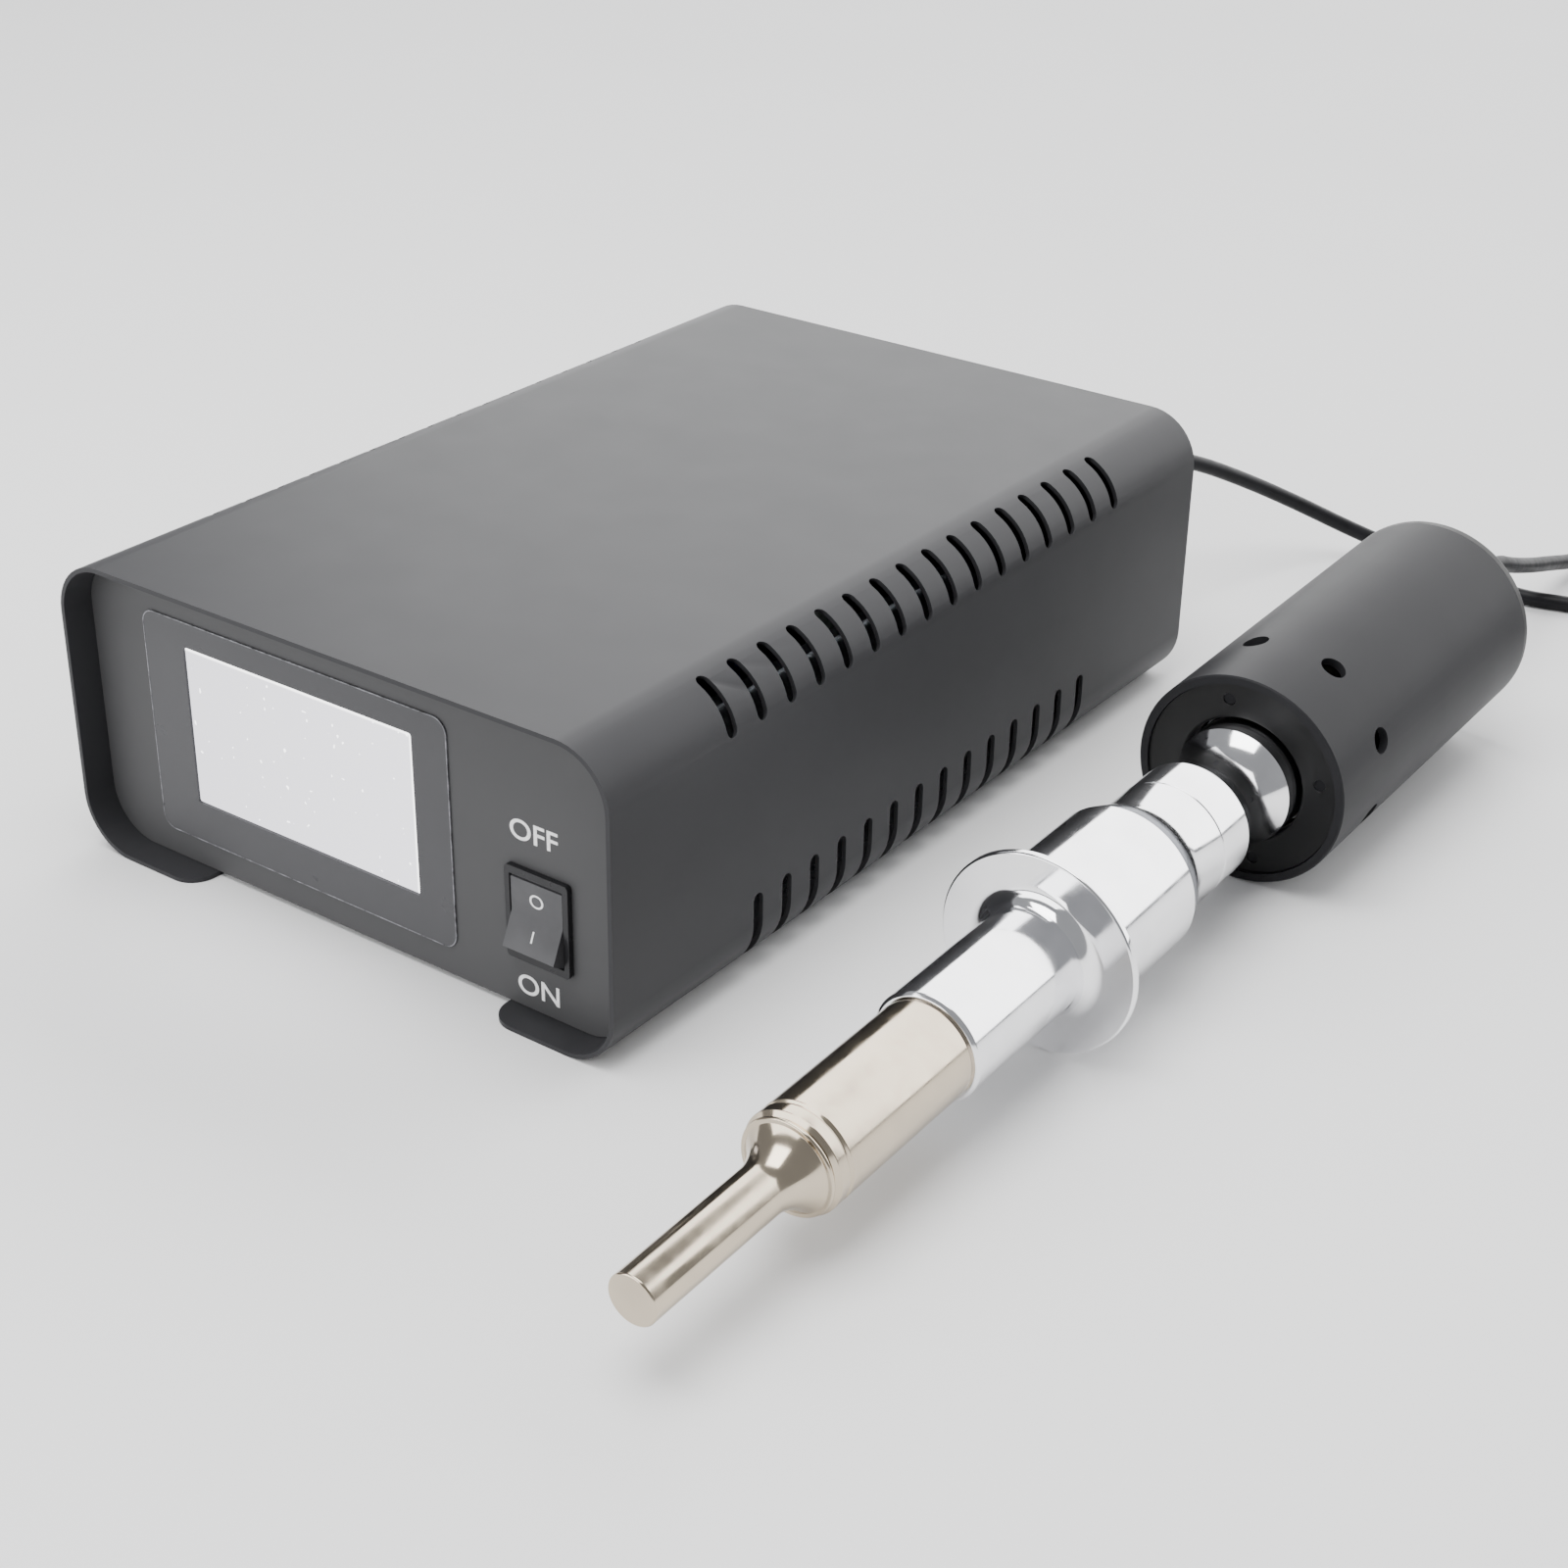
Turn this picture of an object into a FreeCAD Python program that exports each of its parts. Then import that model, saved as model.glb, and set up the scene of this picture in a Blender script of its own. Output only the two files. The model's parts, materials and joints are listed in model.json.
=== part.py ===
# Ultrasonic processor: a generator in a wrap-round cover, and the probe that its output cable drives.
# Millimetres, +Z up. The table is z = 0, and the origin is under the middle of the generator and probe.
import FreeCAD, Part
import math
import os
import Sketcher

V = FreeCAD.Vector
X_AXIS = V(1, 0, 0)
Y_AXIS = V(0, 1, 0)
Z_AXIS = V(0, 0, 1)

doc = FreeCAD.newDocument("UltrasonicProcessor")
sheet = doc.addObject("Spreadsheet::Sheet", "Sizes")


class Size:
    """A length that carries its value and the sheet formula that it comes from."""

    def __init__(self, value, formula):
        self.value = float(value)
        self.formula = formula

    def combine(self, value, left, sign, right):
        return Size(value, "(%s %s %s)" % (formula_of(left), sign, formula_of(right)))

    def __add__(self, other):
        return self.combine(self.value + value_of(other), self, "+", other)

    def __radd__(self, other):
        return self.combine(value_of(other) + self.value, other, "+", self)

    def __sub__(self, other):
        return self.combine(self.value - value_of(other), self, "-", other)

    def __rsub__(self, other):
        return self.combine(value_of(other) - self.value, other, "-", self)

    def __mul__(self, other):
        return self.combine(self.value * value_of(other), self, "*", other)

    def __rmul__(self, other):
        return self.combine(value_of(other) * self.value, other, "*", self)

    def __truediv__(self, other):
        return self.combine(self.value / value_of(other), self, "/", other)

    def __neg__(self):
        return self.combine(-self.value, 0, "-", self)


def value_of(length):
    return length.value if isinstance(length, Size) else float(length)


def formula_of(length):
    return length.formula if isinstance(length, Size) else "%.5f" % float(length)


sheet_rows = []


def size(alias, value):
    """Write one driving dimension into the sheet and return it."""
    sheet_rows.append(alias)
    row = len(sheet_rows)
    sheet.set("A%d" % row, alias)
    sheet.set("B%d" % row, str(value))
    sheet.setAlias("B%d" % row, alias)
    return Size(value, "Sizes." + alias)


# Driving dimensions of the generator
cover_width = size("cover_width", 222)
cover_depth = size("cover_depth", 328)
cover_height = size("cover_height", 102.5)
cover_wall = size("cover_wall", 1.5)
corner_radius = size("corner_radius", 19)
foot_width = size("foot_width", 49)
foot_corner = size("foot_corner", 9)
panel_recess = size("panel_recess", 10.7)
panel_wall = size("panel_wall", 2)
panel_foot = size("panel_foot", 14)
panel_gap = size("panel_gap", 0.3)
vent_pitch = size("vent_pitch", 14.4)
vent_slot = size("vent_slot", 4.6)
upper_vent_angle = 40
upper_vent_length = size("upper_vent_length", 20.2)
upper_vent_margin = size("upper_vent_margin", 55.4)
upper_vents = 16
lower_vent_angle = 10
lower_vent_length = size("lower_vent_length", 26.4)
lower_vent_margin = size("lower_vent_margin", 67.9)
lower_vents = 14
tray_wall = size("tray_wall", 1.5)
tray_lip = size("tray_lip", 12)
board_wall = size("board_wall", 1.6)
board_clearance = size("board_clearance", 8)
board_width = size("board_width", 164)
board_margin = size("board_margin", 26)

# Front panel
screen_width = size("screen_width", 95)
screen_height = size("screen_height", 53.9)
screen_from_left = size("screen_from_left", 91.2)
screen_above_table = size("screen_above_table", 52.5)
screen_gap = size("screen_gap", 0.3)
module_border = size("module_border", 5.5)
module_depth = size("module_depth", 4.5)
overlay_border = size("overlay_border", 15.5)
overlay_wall = size("overlay_wall", 0.5)
overlay_corner = size("overlay_corner", 5)
spacer_length = size("spacer_length", 8)
spacer_radius = size("spacer_radius", 2.5)
switch_from_right = size("switch_from_right", 35.5)
switch_above_table = size("switch_above_table", 34.5)
bezel_width = size("bezel_width", 24)
bezel_height = size("bezel_height", 31)
bezel_rise = size("bezel_rise", 2)
barrel_border = size("barrel_border", 0.9)
barrel_depth = size("barrel_depth", 22)
barrel_wall = size("barrel_wall", 1.1)
paddle_gap = size("paddle_gap", 0.3)
paddle_pivot_depth = size("paddle_pivot_depth", 4)
paddle_pin = size("paddle_pin", 1.5)
paddle_swing = size("paddle_swing", 12)

# Rear panel
fan_side = size("fan_side", 80)
fan_depth = size("fan_depth", 25)
fan_bore = size("fan_bore", 38)
fan_hole_spacing = size("fan_hole_spacing", 71.5)
fan_hub = size("fan_hub", 15.5)
fan_tip_gap = size("fan_tip_gap", 2.2)
fan_from_left = size("fan_from_left", 62)
fan_screw = size("fan_screw", 2)
fan_shaft = size("fan_shaft", 1.95)
bearing_gap = size("bearing_gap", 0.1)
screw_gap = size("screw_gap", 0.15)
guard_wire = size("guard_wire", 1.6)
inlet_from_right = size("inlet_from_right", 34)
inlet_above_table = size("inlet_above_table", 32)
inlet_width = size("inlet_width", 28)
inlet_height = size("inlet_height", 33)
inlet_flange = size("inlet_flange", 3)
inlet_ear = size("inlet_ear", 10.5)
inlet_depth = size("inlet_depth", 24)
socket_width = size("socket_width", 24.4)
socket_height = size("socket_height", 17.4)
socket_depth = size("socket_depth", 16)
drawer_width = size("drawer_width", 23)
drawer_height = size("drawer_height", 8)
drawer_depth = size("drawer_depth", 18)
drawer_gap = size("drawer_gap", 0.3)
fuse_radius = size("fuse_radius", 2.6)
fuse_length = size("fuse_length", 20)
gland_from_right = size("gland_from_right", 60)
gland_above_table = size("gland_above_table", 64)
gland_radius = size("gland_radius", 9)
gland_thread = size("gland_thread", 7.6)
gland_length = size("gland_length", 32)
cable_diameter = size("cable_diameter", 6)

# Probe, with stations measured along its axis from the front rim of the housing
probe_gap = size("probe_gap", 50)
probe_setback = size("probe_setback", 207.5)
housing_radius = size("housing_radius", 36)
housing_length = size("housing_length", 145.3)
housing_wall = size("housing_wall", 2.9)
rim_chamfer = size("rim_chamfer", 0.5)
side_hole = size("side_hole", 4.3)
side_hole_station = size("side_hole_station", 29)
side_hole_phase = size("side_hole_phase", 20)
side_holes = 8
cap_recess = size("cap_recess", 1)
cap_length = size("cap_length", 8)
cap_opening = size("cap_opening", 21)
cap_screw_circle = size("cap_screw_circle", 27.5)
cap_screw = size("cap_screw", 1.9)
cap_screw_phase = size("cap_screw_phase", 13.5)
cap_screws = 4
rear_cap_length = size("rear_cap_length", 3.8)
spigot_length = size("spigot_length", 7)
cap_fit = size("cap_fit", 0.1)
driver_radius = size("driver_radius", 20)
driver_reach = size("driver_reach", 47)
neck_start = size("neck_start", 31)
neck_end = size("neck_end", 5)
neck_arc = size("neck_arc", 25)
collar_chamfer = size("collar_chamfer", 0.8)
seam = size("seam", 0.25)
node_flange = size("node_flange", 24.5)
node_flange_length = size("node_flange_length", 3)
seal_section = size("seal_section", 1.2)
clamp_ring_length = size("clamp_ring_length", 5)
driver_tail = size("driver_tail", 42)
piezo_length = size("piezo_length", 6)
electrode_wall = size("electrode_wall", 0.4)
piezo_bore = size("piezo_bore", 8)
piezo_count = 4
back_mass_length = size("back_mass_length", 32)
bolt_radius = size("bolt_radius", 6)
bolt_head = size("bolt_head", 9)
bolt_head_length = size("bolt_head_length", 10)
thread_gap = size("thread_gap", 0.05)
stud_reach = size("stud_reach", 20)
taper_start = size("taper_start", 62)
taper_length = size("taper_length", 12.5)
barrel_radius = size("barrel_radius", 24.6)
flange_station = size("flange_station", 120.7)
flange_wall = size("flange_wall", 2.2)
flange_radius = size("flange_radius", 32.1)
flange_fillet = size("flange_fillet", 5.3)
shank_radius = size("shank_radius", 17.1)
horn_station = size("horn_station", 180)
horn_radius = size("horn_radius", 15.5)
horn_length = size("horn_length", 125.3)
joint_chamfer = size("joint_chamfer", 1)
rod_radius = size("rod_radius", 7.5)
rod_length = size("rod_length", 50)
flare_length = size("flare_length", 11.8)
flare_rim = size("flare_rim", 13.2)
lip_radius = size("lip_radius", 14.6)
lip_length = size("lip_length", 1.4)
groove_width = size("groove_width", 1.8)
groove_depth = size("groove_depth", 0.8)
groove_spacing = size("groove_spacing", 6.2)

# Places that follow from the driving dimensions, in the generator's own frame: x from its middle,
# y from the front rim of its cover and z from the table
left_side = -cover_width / 2
right_side = cover_width / 2
panel_front = panel_recess
panel_back = panel_recess + panel_wall
rear_face = cover_depth - panel_recess
rear_inner = rear_face - panel_wall
tray_bottom = cover_wall
tray_top = tray_bottom + tray_wall
tray_half = right_side - corner_radius - panel_gap
board_bottom = tray_top + board_clearance
board_top = board_bottom + board_wall
board_front = panel_back + board_margin
board_rear = rear_inner - fan_depth - board_margin / 2
screen_x = left_side + screen_from_left
screen_z = screen_above_table
switch_x = right_side - switch_from_right
switch_z = switch_above_table
bezel_front = panel_front - bezel_rise
pivot_y = bezel_front + paddle_pivot_depth
fan_x = left_side + fan_from_left
fan_z = cover_height / 2
inlet_x = right_side - inlet_from_right
inlet_z = inlet_above_table
gland_x = right_side - gland_from_right
gland_z = gland_above_table
probe_x = right_side + probe_gap + housing_radius

# The probe lies on the front rim of its housing and on its flange, which is smaller, so it tips forward
tilt = math.atan2(housing_radius.value - flange_radius.value, flange_station.value + flange_wall.value)
rim_height = housing_radius.value * math.cos(tilt) - rim_chamfer.value * math.sin(tilt)
probe_turn = FreeCAD.Rotation(X_AXIS, math.degrees(tilt) - 90)
probe_direction = probe_turn.multVec(Z_AXIS)
probe_start = V(probe_x.value, probe_setback.value, rim_height)
tip_station = -(horn_station.value + horn_length.value)
probe_end_station = housing_length.value + gland_length.value

# The origin goes under the middle of everything but the cable
object_front = min(0, (probe_start + probe_direction * tip_station).y)
object_rear = max(cover_depth.value, (probe_start + probe_direction * probe_end_station).y)
object_right = probe_x.value + housing_radius.value
home = V(-(left_side.value + object_right) / 2, -(object_front + object_rear) / 2, 0)
GENERATOR = FreeCAD.Placement(home, FreeCAD.Rotation())
PROBE = FreeCAD.Placement(home + probe_start, probe_turn)

nodes = []


def finish(part, name, place=GENERATOR):
    """Label a finished sub-part, put it in its frame and list it for export."""
    if part.TypeId in ("Part::Box", "Part::Cylinder", "Part::Torus"):
        part = group(name, [part])
    part.Label = name
    part.Placement = place
    nodes.append(part)
    return part


def bind(part, settings):
    """Set properties of a feature, each from a number or from a sheet formula."""
    for name, length in settings.items():
        if isinstance(length, Size):
            part.setExpression(name, length.formula)
        else:
            setattr(part, name, length)


# Sketches
def new_body(name):
    return doc.addObject("PartDesign::Body", name + "_body")


def origin_part(body, role):
    return [item for item in body.Origin.OriginFeatures if item.Role == role][0]


def new_sketch(body, plane="XY_Plane", height=0, side=None):
    """A sketch on one of the body's own planes, raised along the plane's normal or turned at a corner."""
    drawing = body.newObject("Sketcher::SketchObject", body.Name + "_sketch")
    drawing.AttachmentSupport = [(origin_part(body, plane), "")]
    drawing.MapMode = "FlatFace"
    if side is not None:
        drawing.AttachmentOffset = side
    if isinstance(height, Size):
        drawing.setExpression("AttachmentOffset.Base.z", height.formula)
    return drawing


def fix_point(drawing, curve, end, point):
    """Hold one end of a curve at a place given by two lengths."""
    for kind, length, axis in (("DistanceX", point[0], -2), ("DistanceY", point[1], -1)):
        if abs(value_of(length)) < 1e-9:
            drawing.addConstraint(Sketcher.Constraint("PointOnObject", curve, end, axis))
            continue
        index = drawing.addConstraint(Sketcher.Constraint(kind, -1, 1, curve, end, value_of(length)))
        if isinstance(length, Size):
            drawing.setExpression("Constraints[%d]" % index, length.formula)


def fix_radius(drawing, curve, radius):
    index = drawing.addConstraint(Sketcher.Constraint("Radius", curve, value_of(radius)))
    if isinstance(radius, Size):
        drawing.setExpression("Constraints[%d]" % index, radius.formula)


def arc_between(start, end, radius, centre_left):
    """The short arc from start to end whose centre lies left or right of the way there."""
    chord = end - start
    middle = (start + end) * 0.5
    rise = math.sqrt(max(radius * radius - chord.Length * chord.Length / 4, 0))
    normal = V(-chord.y, chord.x, 0) / chord.Length
    centre = middle + normal * (rise if centre_left else -rise)
    first = math.atan2(start.y - centre.y, start.x - centre.x)
    last = math.atan2(end.y - centre.y, end.x - centre.x)
    circle = Part.Circle(centre, Z_AXIS, radius)
    if centre_left:
        return Part.ArcOfCircle(circle, first, last)
    return Part.ArcOfCircle(circle, last, first)


def draw_outline(drawing, points, arcs=None):
    """A closed outline. arcs gives, for the stretch that starts at a point, (radius, centre is left)."""
    arcs = arcs or {}
    curves = []
    for index, point in enumerate(points):
        following = points[(index + 1) % len(points)]
        start = V(value_of(point[0]), value_of(point[1]), 0)
        end = V(value_of(following[0]), value_of(following[1]), 0)
        if index in arcs:
            radius, centre_left = arcs[index]
            curve = drawing.addGeometry(arc_between(start, end, value_of(radius), centre_left), False)
            curves.append((curve, 1, 2) if centre_left else (curve, 2, 1))
        else:
            curves.append((drawing.addGeometry(Part.LineSegment(start, end), False), 1, 2))
    for index, (curve, first, last) in enumerate(curves):
        next_curve, next_first, next_last = curves[(index + 1) % len(curves)]
        drawing.addConstraint(Sketcher.Constraint("Coincident", curve, last, next_curve, next_first))
    for index, (curve, first, last) in enumerate(curves):
        fix_point(drawing, curve, first, points[index])
    for index, (radius, centre_left) in arcs.items():
        fix_radius(drawing, curves[index][0], radius)


def draw_circle(drawing, centre, radius):
    middle = V(value_of(centre[0]), value_of(centre[1]), 0)
    curve = drawing.addGeometry(Part.Circle(middle, Z_AXIS, value_of(radius)), False)
    fix_radius(drawing, curve, radius)
    fix_point(drawing, curve, 3, centre)


def draw_rectangle(drawing, centre, width, height, corner=None):
    """A rectangle round a centre, with rounded corners if a corner radius is given."""
    left = centre[0] - width / 2
    right = centre[0] + width / 2
    low = centre[1] - height / 2
    high = centre[1] + height / 2
    if corner is None:
        draw_outline(drawing, [(left, low), (right, low), (right, high), (left, high)])
        return
    points = [(left + corner, low), (right - corner, low), (right, low + corner), (right, high - corner),
              (right - corner, high), (left + corner, high), (left, high - corner), (left, low + corner)]
    draw_outline(drawing, points, {side: (corner, True) for side in (1, 3, 5, 7)})


def draw_slot(drawing, reach, radius):
    """A slot with round ends along the sketch's x axis. reach is from its middle to each end's centre."""
    arcs = []
    for side, start in ((1, -math.pi / 2), (-1, math.pi / 2)):
        circle = Part.Circle(V(side * value_of(reach), 0, 0), Z_AXIS, value_of(radius))
        arc = drawing.addGeometry(Part.ArcOfCircle(circle, start, start + math.pi), False)
        fix_radius(drawing, arc, radius)
        fix_point(drawing, arc, 3, (side * reach, 0))
        for end in (1, 2):
            drawing.addConstraint(Sketcher.Constraint("Vertical", arc, end, arc, 3))
        arcs.append(arc)
    for first, second in (arcs, arcs[::-1]):
        side = 1 if first == arcs[0] else -1
        start = V(side * value_of(reach), side * value_of(radius), 0)
        line = drawing.addGeometry(Part.LineSegment(start, V(-start.x, start.y, 0)), False)
        drawing.addConstraint(Sketcher.Constraint("Coincident", first, 2, line, 1))
        drawing.addConstraint(Sketcher.Constraint("Coincident", line, 2, second, 1))


def draw_polygon(drawing, centre, radius, sides, turn=0):
    points = []
    for side in range(sides):
        angle = math.radians(turn) + 2 * math.pi * side / sides
        points.append((centre[0] + radius * math.cos(angle), centre[1] + radius * math.sin(angle)))
    draw_outline(drawing, points)


# Features
def pad(body, drawing, length, reverse=False):
    feature = body.newObject("PartDesign::Pad", body.Name + "_pad")
    feature.Profile = drawing
    feature.Reversed = reverse
    bind(feature, {"Length": length})
    drawing.Visibility = False
    return feature


def pocket(body, drawing, length=None, reverse=False, both_ways=False):
    """Cut a sketch out of the body, right through it when no length is given."""
    before = body.Shape.Volume
    feature = body.newObject("PartDesign::Pocket", body.Name + "_pocket")
    feature.Profile = drawing
    feature.Reversed = reverse
    feature.Midplane = both_ways
    if length is None:
        feature.Type = "ThroughAll"
    else:
        bind(feature, {"Length": length})
    doc.recompute()
    if body.Shape.Volume >= before:
        raise RuntimeError("a pocket cuts nothing in " + body.Name)
    return feature


def revolve(body, drawing):
    """Turn a sketch on the XZ plane once round the body's Z axis."""
    feature = body.newObject("PartDesign::Revolution", body.Name + "_turning")
    feature.Profile = drawing
    feature.ReferenceAxis = (origin_part(body, "Z_Axis"), [""])
    feature.Angle = 360
    return feature


def turned(name, points, arcs=None, place=None):
    """A part that is turned on a lathe: a closed profile of (radius, station) round the axis."""
    body = new_body(name)
    drawing = new_sketch(body, "XZ_Plane")
    draw_outline(drawing, points, arcs)
    revolve(body, drawing)
    doc.recompute()
    if place is not None:
        finish(body, name, place)
    return body


def ring_points(inner, outer, start, end):
    return [(inner, start), (outer, start), (outer, end), (inner, end)]


def chamfered_ring(inner, outer, low, high, edge):
    return [(inner, low + edge), (inner + edge, low), (outer - edge, low), (outer, low + edge),
            (outer, high - edge), (outer - edge, high), (inner + edge, high), (inner, high - edge)]


def row_of(body, feature, axis, length, count):
    """Repeat a feature in a row along one of the body's axes."""
    pattern = body.newObject("PartDesign::LinearPattern", body.Name + "_row")
    pattern.Originals = [feature]
    pattern.Direction = (origin_part(body, axis), [""])
    bind(pattern, {"Length": length})
    pattern.Occurrences = count
    body.Tip = pattern
    return pattern


def ring_of(body, feature, axis, count):
    """Repeat a feature round one of the body's axes."""
    pattern = body.newObject("PartDesign::PolarPattern", body.Name + "_ring")
    pattern.Originals = [feature]
    pattern.Axis = (origin_part(body, axis), [""])
    pattern.Angle = 360
    pattern.Occurrences = count
    body.Tip = pattern
    return pattern


def box(name, low, high):
    """A plain block between two corners, each coordinate a number or a sheet formula."""
    part = doc.addObject("Part::Box", name)
    bind(part, {"Length": high[0] - low[0], "Width": high[1] - low[1], "Height": high[2] - low[2]})
    bind_base(part, low)
    return part


def bind_base(part, point):
    part.Placement.Base = V(*[value_of(length) for length in point])
    for letter, length in zip("xyz", point):
        if isinstance(length, Size):
            part.setExpression("Placement.Base." + letter, length.formula)


TURNS = {"x": FreeCAD.Rotation(Y_AXIS, 90), "y": FreeCAD.Rotation(X_AXIS, -90), "z": FreeCAD.Rotation()}


def rod(name, base, radius, length, axis="z"):
    """A round bar that starts at a base point and runs along +X, +Y or +Z."""
    part = doc.addObject("Part::Cylinder", name)
    bind(part, {"Radius": radius, "Height": length})
    part.Placement = FreeCAD.Placement(V(), TURNS[axis])
    bind_base(part, base)
    return part


def join(name, parts):
    part = doc.addObject("Part::MultiFuse", name)
    part.Shapes = parts
    return part


def cut(name, base, tool):
    part = doc.addObject("Part::Cut", name)
    part.Base = base
    part.Tool = tool
    return part


def group(name, parts):
    """Several separate solids that share one node."""
    part = doc.addObject("Part::Compound", name)
    part.Links = parts
    return part


# Generator: the cover and what closes it
def panel_outline(drawing):
    """The inside of the cover's section, less the gap that lets a panel slide in."""
    width = cover_width - 2 * (cover_wall + panel_gap)
    height = cover_height - 2 * (cover_wall + panel_gap)
    draw_rectangle(drawing, (Size(0, "0"), cover_height / 2), width, height,
                   corner_radius - cover_wall - panel_gap)


def make_cover():
    """Sheet bent round all four corners, with slots over its long edges and feet turned in below."""
    body = new_body("cover")
    drawing = new_sketch(body, "XZ_Plane")
    half = cover_width / 2
    straight = half - corner_radius
    inner = half - cover_wall
    foot = half - foot_width
    inner_radius = corner_radius - cover_wall
    top = cover_height
    points = [(-straight, 0), (-foot, 0), (-foot, cover_wall), (-straight, cover_wall),
              (-inner, corner_radius), (-inner, top - corner_radius), (-straight, top - cover_wall),
              (straight, top - cover_wall), (inner, top - corner_radius), (inner, corner_radius),
              (straight, cover_wall), (foot, cover_wall), (foot, 0), (straight, 0),
              (half, corner_radius), (half, top - corner_radius), (straight, top),
              (-straight, top), (-half, top - corner_radius), (-half, corner_radius)]
    arcs = {start: (inner_radius, False) for start in (3, 5, 7, 9)}
    arcs.update({start: (corner_radius, True) for start in (13, 15, 17, 19)})
    draw_outline(drawing, points, arcs)
    sheet_pad = pad(body, drawing, cover_depth, reverse=True)
    doc.recompute()
    round_feet(body, sheet_pad)
    for side in (-1, 1):
        cut_vents(body, side, 1, upper_vent_angle, upper_vent_length, upper_vent_margin, upper_vents)
        cut_vents(body, side, -1, lower_vent_angle, lower_vent_length, lower_vent_margin, lower_vents)
        cut_screw_seats(body, side)
    finish(body, "cover")


def round_feet(body, sheet_pad):
    """Round the inner corners of the two feet."""
    foot = value_of(cover_width) / 2 - value_of(foot_width)
    names = []
    for index, edge in enumerate(body.Shape.Edges):
        box_of_edge = edge.BoundBox
        upright = box_of_edge.XLength < 0.01 and box_of_edge.YLength < 0.01
        if upright and abs(abs(box_of_edge.XMin) - foot) < 0.01:
            names.append("Edge%d" % (index + 1))
    rounding = body.newObject("PartDesign::Fillet", "foot_rounding")
    rounding.Base = (sheet_pad, names)
    bind(rounding, {"Radius": foot_corner})
    doc.recompute()


def cut_vents(body, side, level, angle, length, first, count):
    """A row of round-ended slots that wraps one long edge: side is left or right, level low or high.

    The slot's middle lies on the rounded edge, at this angle from the side wall.
    """
    turn = FreeCAD.Rotation(Y_AXIS, (90 - angle) * side * level)
    drawing = new_sketch(body, "XY_Plane", side=FreeCAD.Placement(V(), turn))
    middle_x = side * (cover_width / 2 - corner_radius * (1 - math.cos(math.radians(angle))))
    middle_z = corner_radius * (1 - math.sin(math.radians(angle)))
    if level > 0:
        middle_z = cover_height - middle_z
    for letter, value in (("x", middle_x), ("y", first), ("z", middle_z)):
        drawing.setExpression("AttachmentOffset.Base." + letter, value.formula)
    draw_slot(drawing, length / 2 - vent_slot / 2, vent_slot / 2)
    doc.recompute()
    slot = pocket(body, drawing, corner_radius / 2, both_ways=True)
    row_of(body, slot, "Y_Axis", vent_pitch * (count - 1), count)
    doc.recompute()


screw_row = 3
screw_line = tray_half - 12


def screw_ys():
    """Where the screws of the cover stand along its depth: near both ends and in the middle."""
    first = panel_back + panel_foot + 8
    last = rear_inner - panel_foot - 8
    return [first, (first + last) / 2, last]


def cut_screw_seats(body, side):
    """Countersunk seats for the screws that hold the feet to the tray."""
    places = screw_ys()
    seat = body.newObject("PartDesign::SubtractiveCone", "screw_seat")
    seat.AttachmentSupport = [(origin_part(body, "XY_Plane"), "")]
    seat.MapMode = "FlatFace"
    bind(seat, {"Radius1": 3.2, "Radius2": 3.2 - cover_wall * 1.05, "Height": cover_wall})
    seat.setExpression("AttachmentOffset.Base.x", (side * screw_line).formula)
    seat.setExpression("AttachmentOffset.Base.y", places[0].formula)
    doc.recompute()
    row_of(body, seat, "Y_Axis", places[-1] - places[0], screw_row)
    doc.recompute()


def make_tray():
    """A channel that stands on the feet of the cover and carries everything inside."""
    body = new_body("chassis_tray")
    drawing = new_sketch(body, "XZ_Plane", height=-(panel_back + panel_gap))
    lip_top = tray_bottom + tray_lip
    inner = tray_half - tray_wall
    points = [(-tray_half, tray_bottom), (tray_half, tray_bottom), (tray_half, lip_top), (inner, lip_top),
              (inner, tray_top), (-inner, tray_top), (-inner, lip_top), (-tray_half, lip_top)]
    draw_outline(drawing, points)
    pad(body, drawing, rear_inner - panel_back - 2 * panel_gap, reverse=True)
    doc.recompute()
    holes = new_sketch(body, "XY_Plane")
    for y in screw_ys():
        for side in (-1, 1):
            draw_circle(holes, (side * screw_line, y), 1.55)
    for y in foot_screw_ys():
        for x in foot_screw_xs():
            draw_circle(holes, (x, y), 1.55)
    pocket(body, holes, tray_top * 2, both_ways=True)
    finish(body, "chassis_tray")


def foot_screw_ys():
    return [panel_back + panel_foot * 0.6, rear_inner - panel_foot * 0.6]


def foot_screw_xs():
    return [-tray_half * 0.55, Size(0, "0"), tray_half * 0.55]


def panel_body(name, front, foot_forward):
    """A panel plate with a foot turned in along its bottom, which lies on the tray."""
    body = new_body(name)
    drawing = new_sketch(body, "XZ_Plane", height=-front)
    panel_outline(drawing)
    pad(body, drawing, panel_wall, reverse=True)
    foot = new_sketch(body, "XY_Plane", height=tray_top)
    half = tray_half * 0.8
    near = front if foot_forward else front + panel_wall / 2
    far = near + panel_wall / 2 + panel_foot
    if foot_forward:
        near = front - panel_foot
        far = front + panel_wall / 2
    draw_outline(foot, [(-half, near), (half, near), (half, far), (-half, far)])
    pad(body, foot, tray_wall)
    doc.recompute()
    holes = new_sketch(body, "XY_Plane", height=tray_top)
    for x in foot_screw_xs():
        draw_circle(holes, (x, foot_screw_ys()[1 if foot_forward else 0]), 1.7)
    pocket(body, holes, tray_wall * 3, both_ways=True)
    return body


def make_front_panel():
    body = panel_body("front_panel", panel_front, foot_forward=False)
    openings = new_sketch(body, "XZ_Plane", height=-panel_front)
    draw_rectangle(openings, (screen_x, screen_z), screen_width + 2 * screen_gap,
                   screen_height + 2 * screen_gap)
    draw_rectangle(openings, (switch_x, switch_z), barrel_width + 2 * panel_gap,
                   barrel_height + 2 * panel_gap)
    pocket(body, openings, panel_wall * 3, both_ways=True)
    finish(body, "front_panel")


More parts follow.
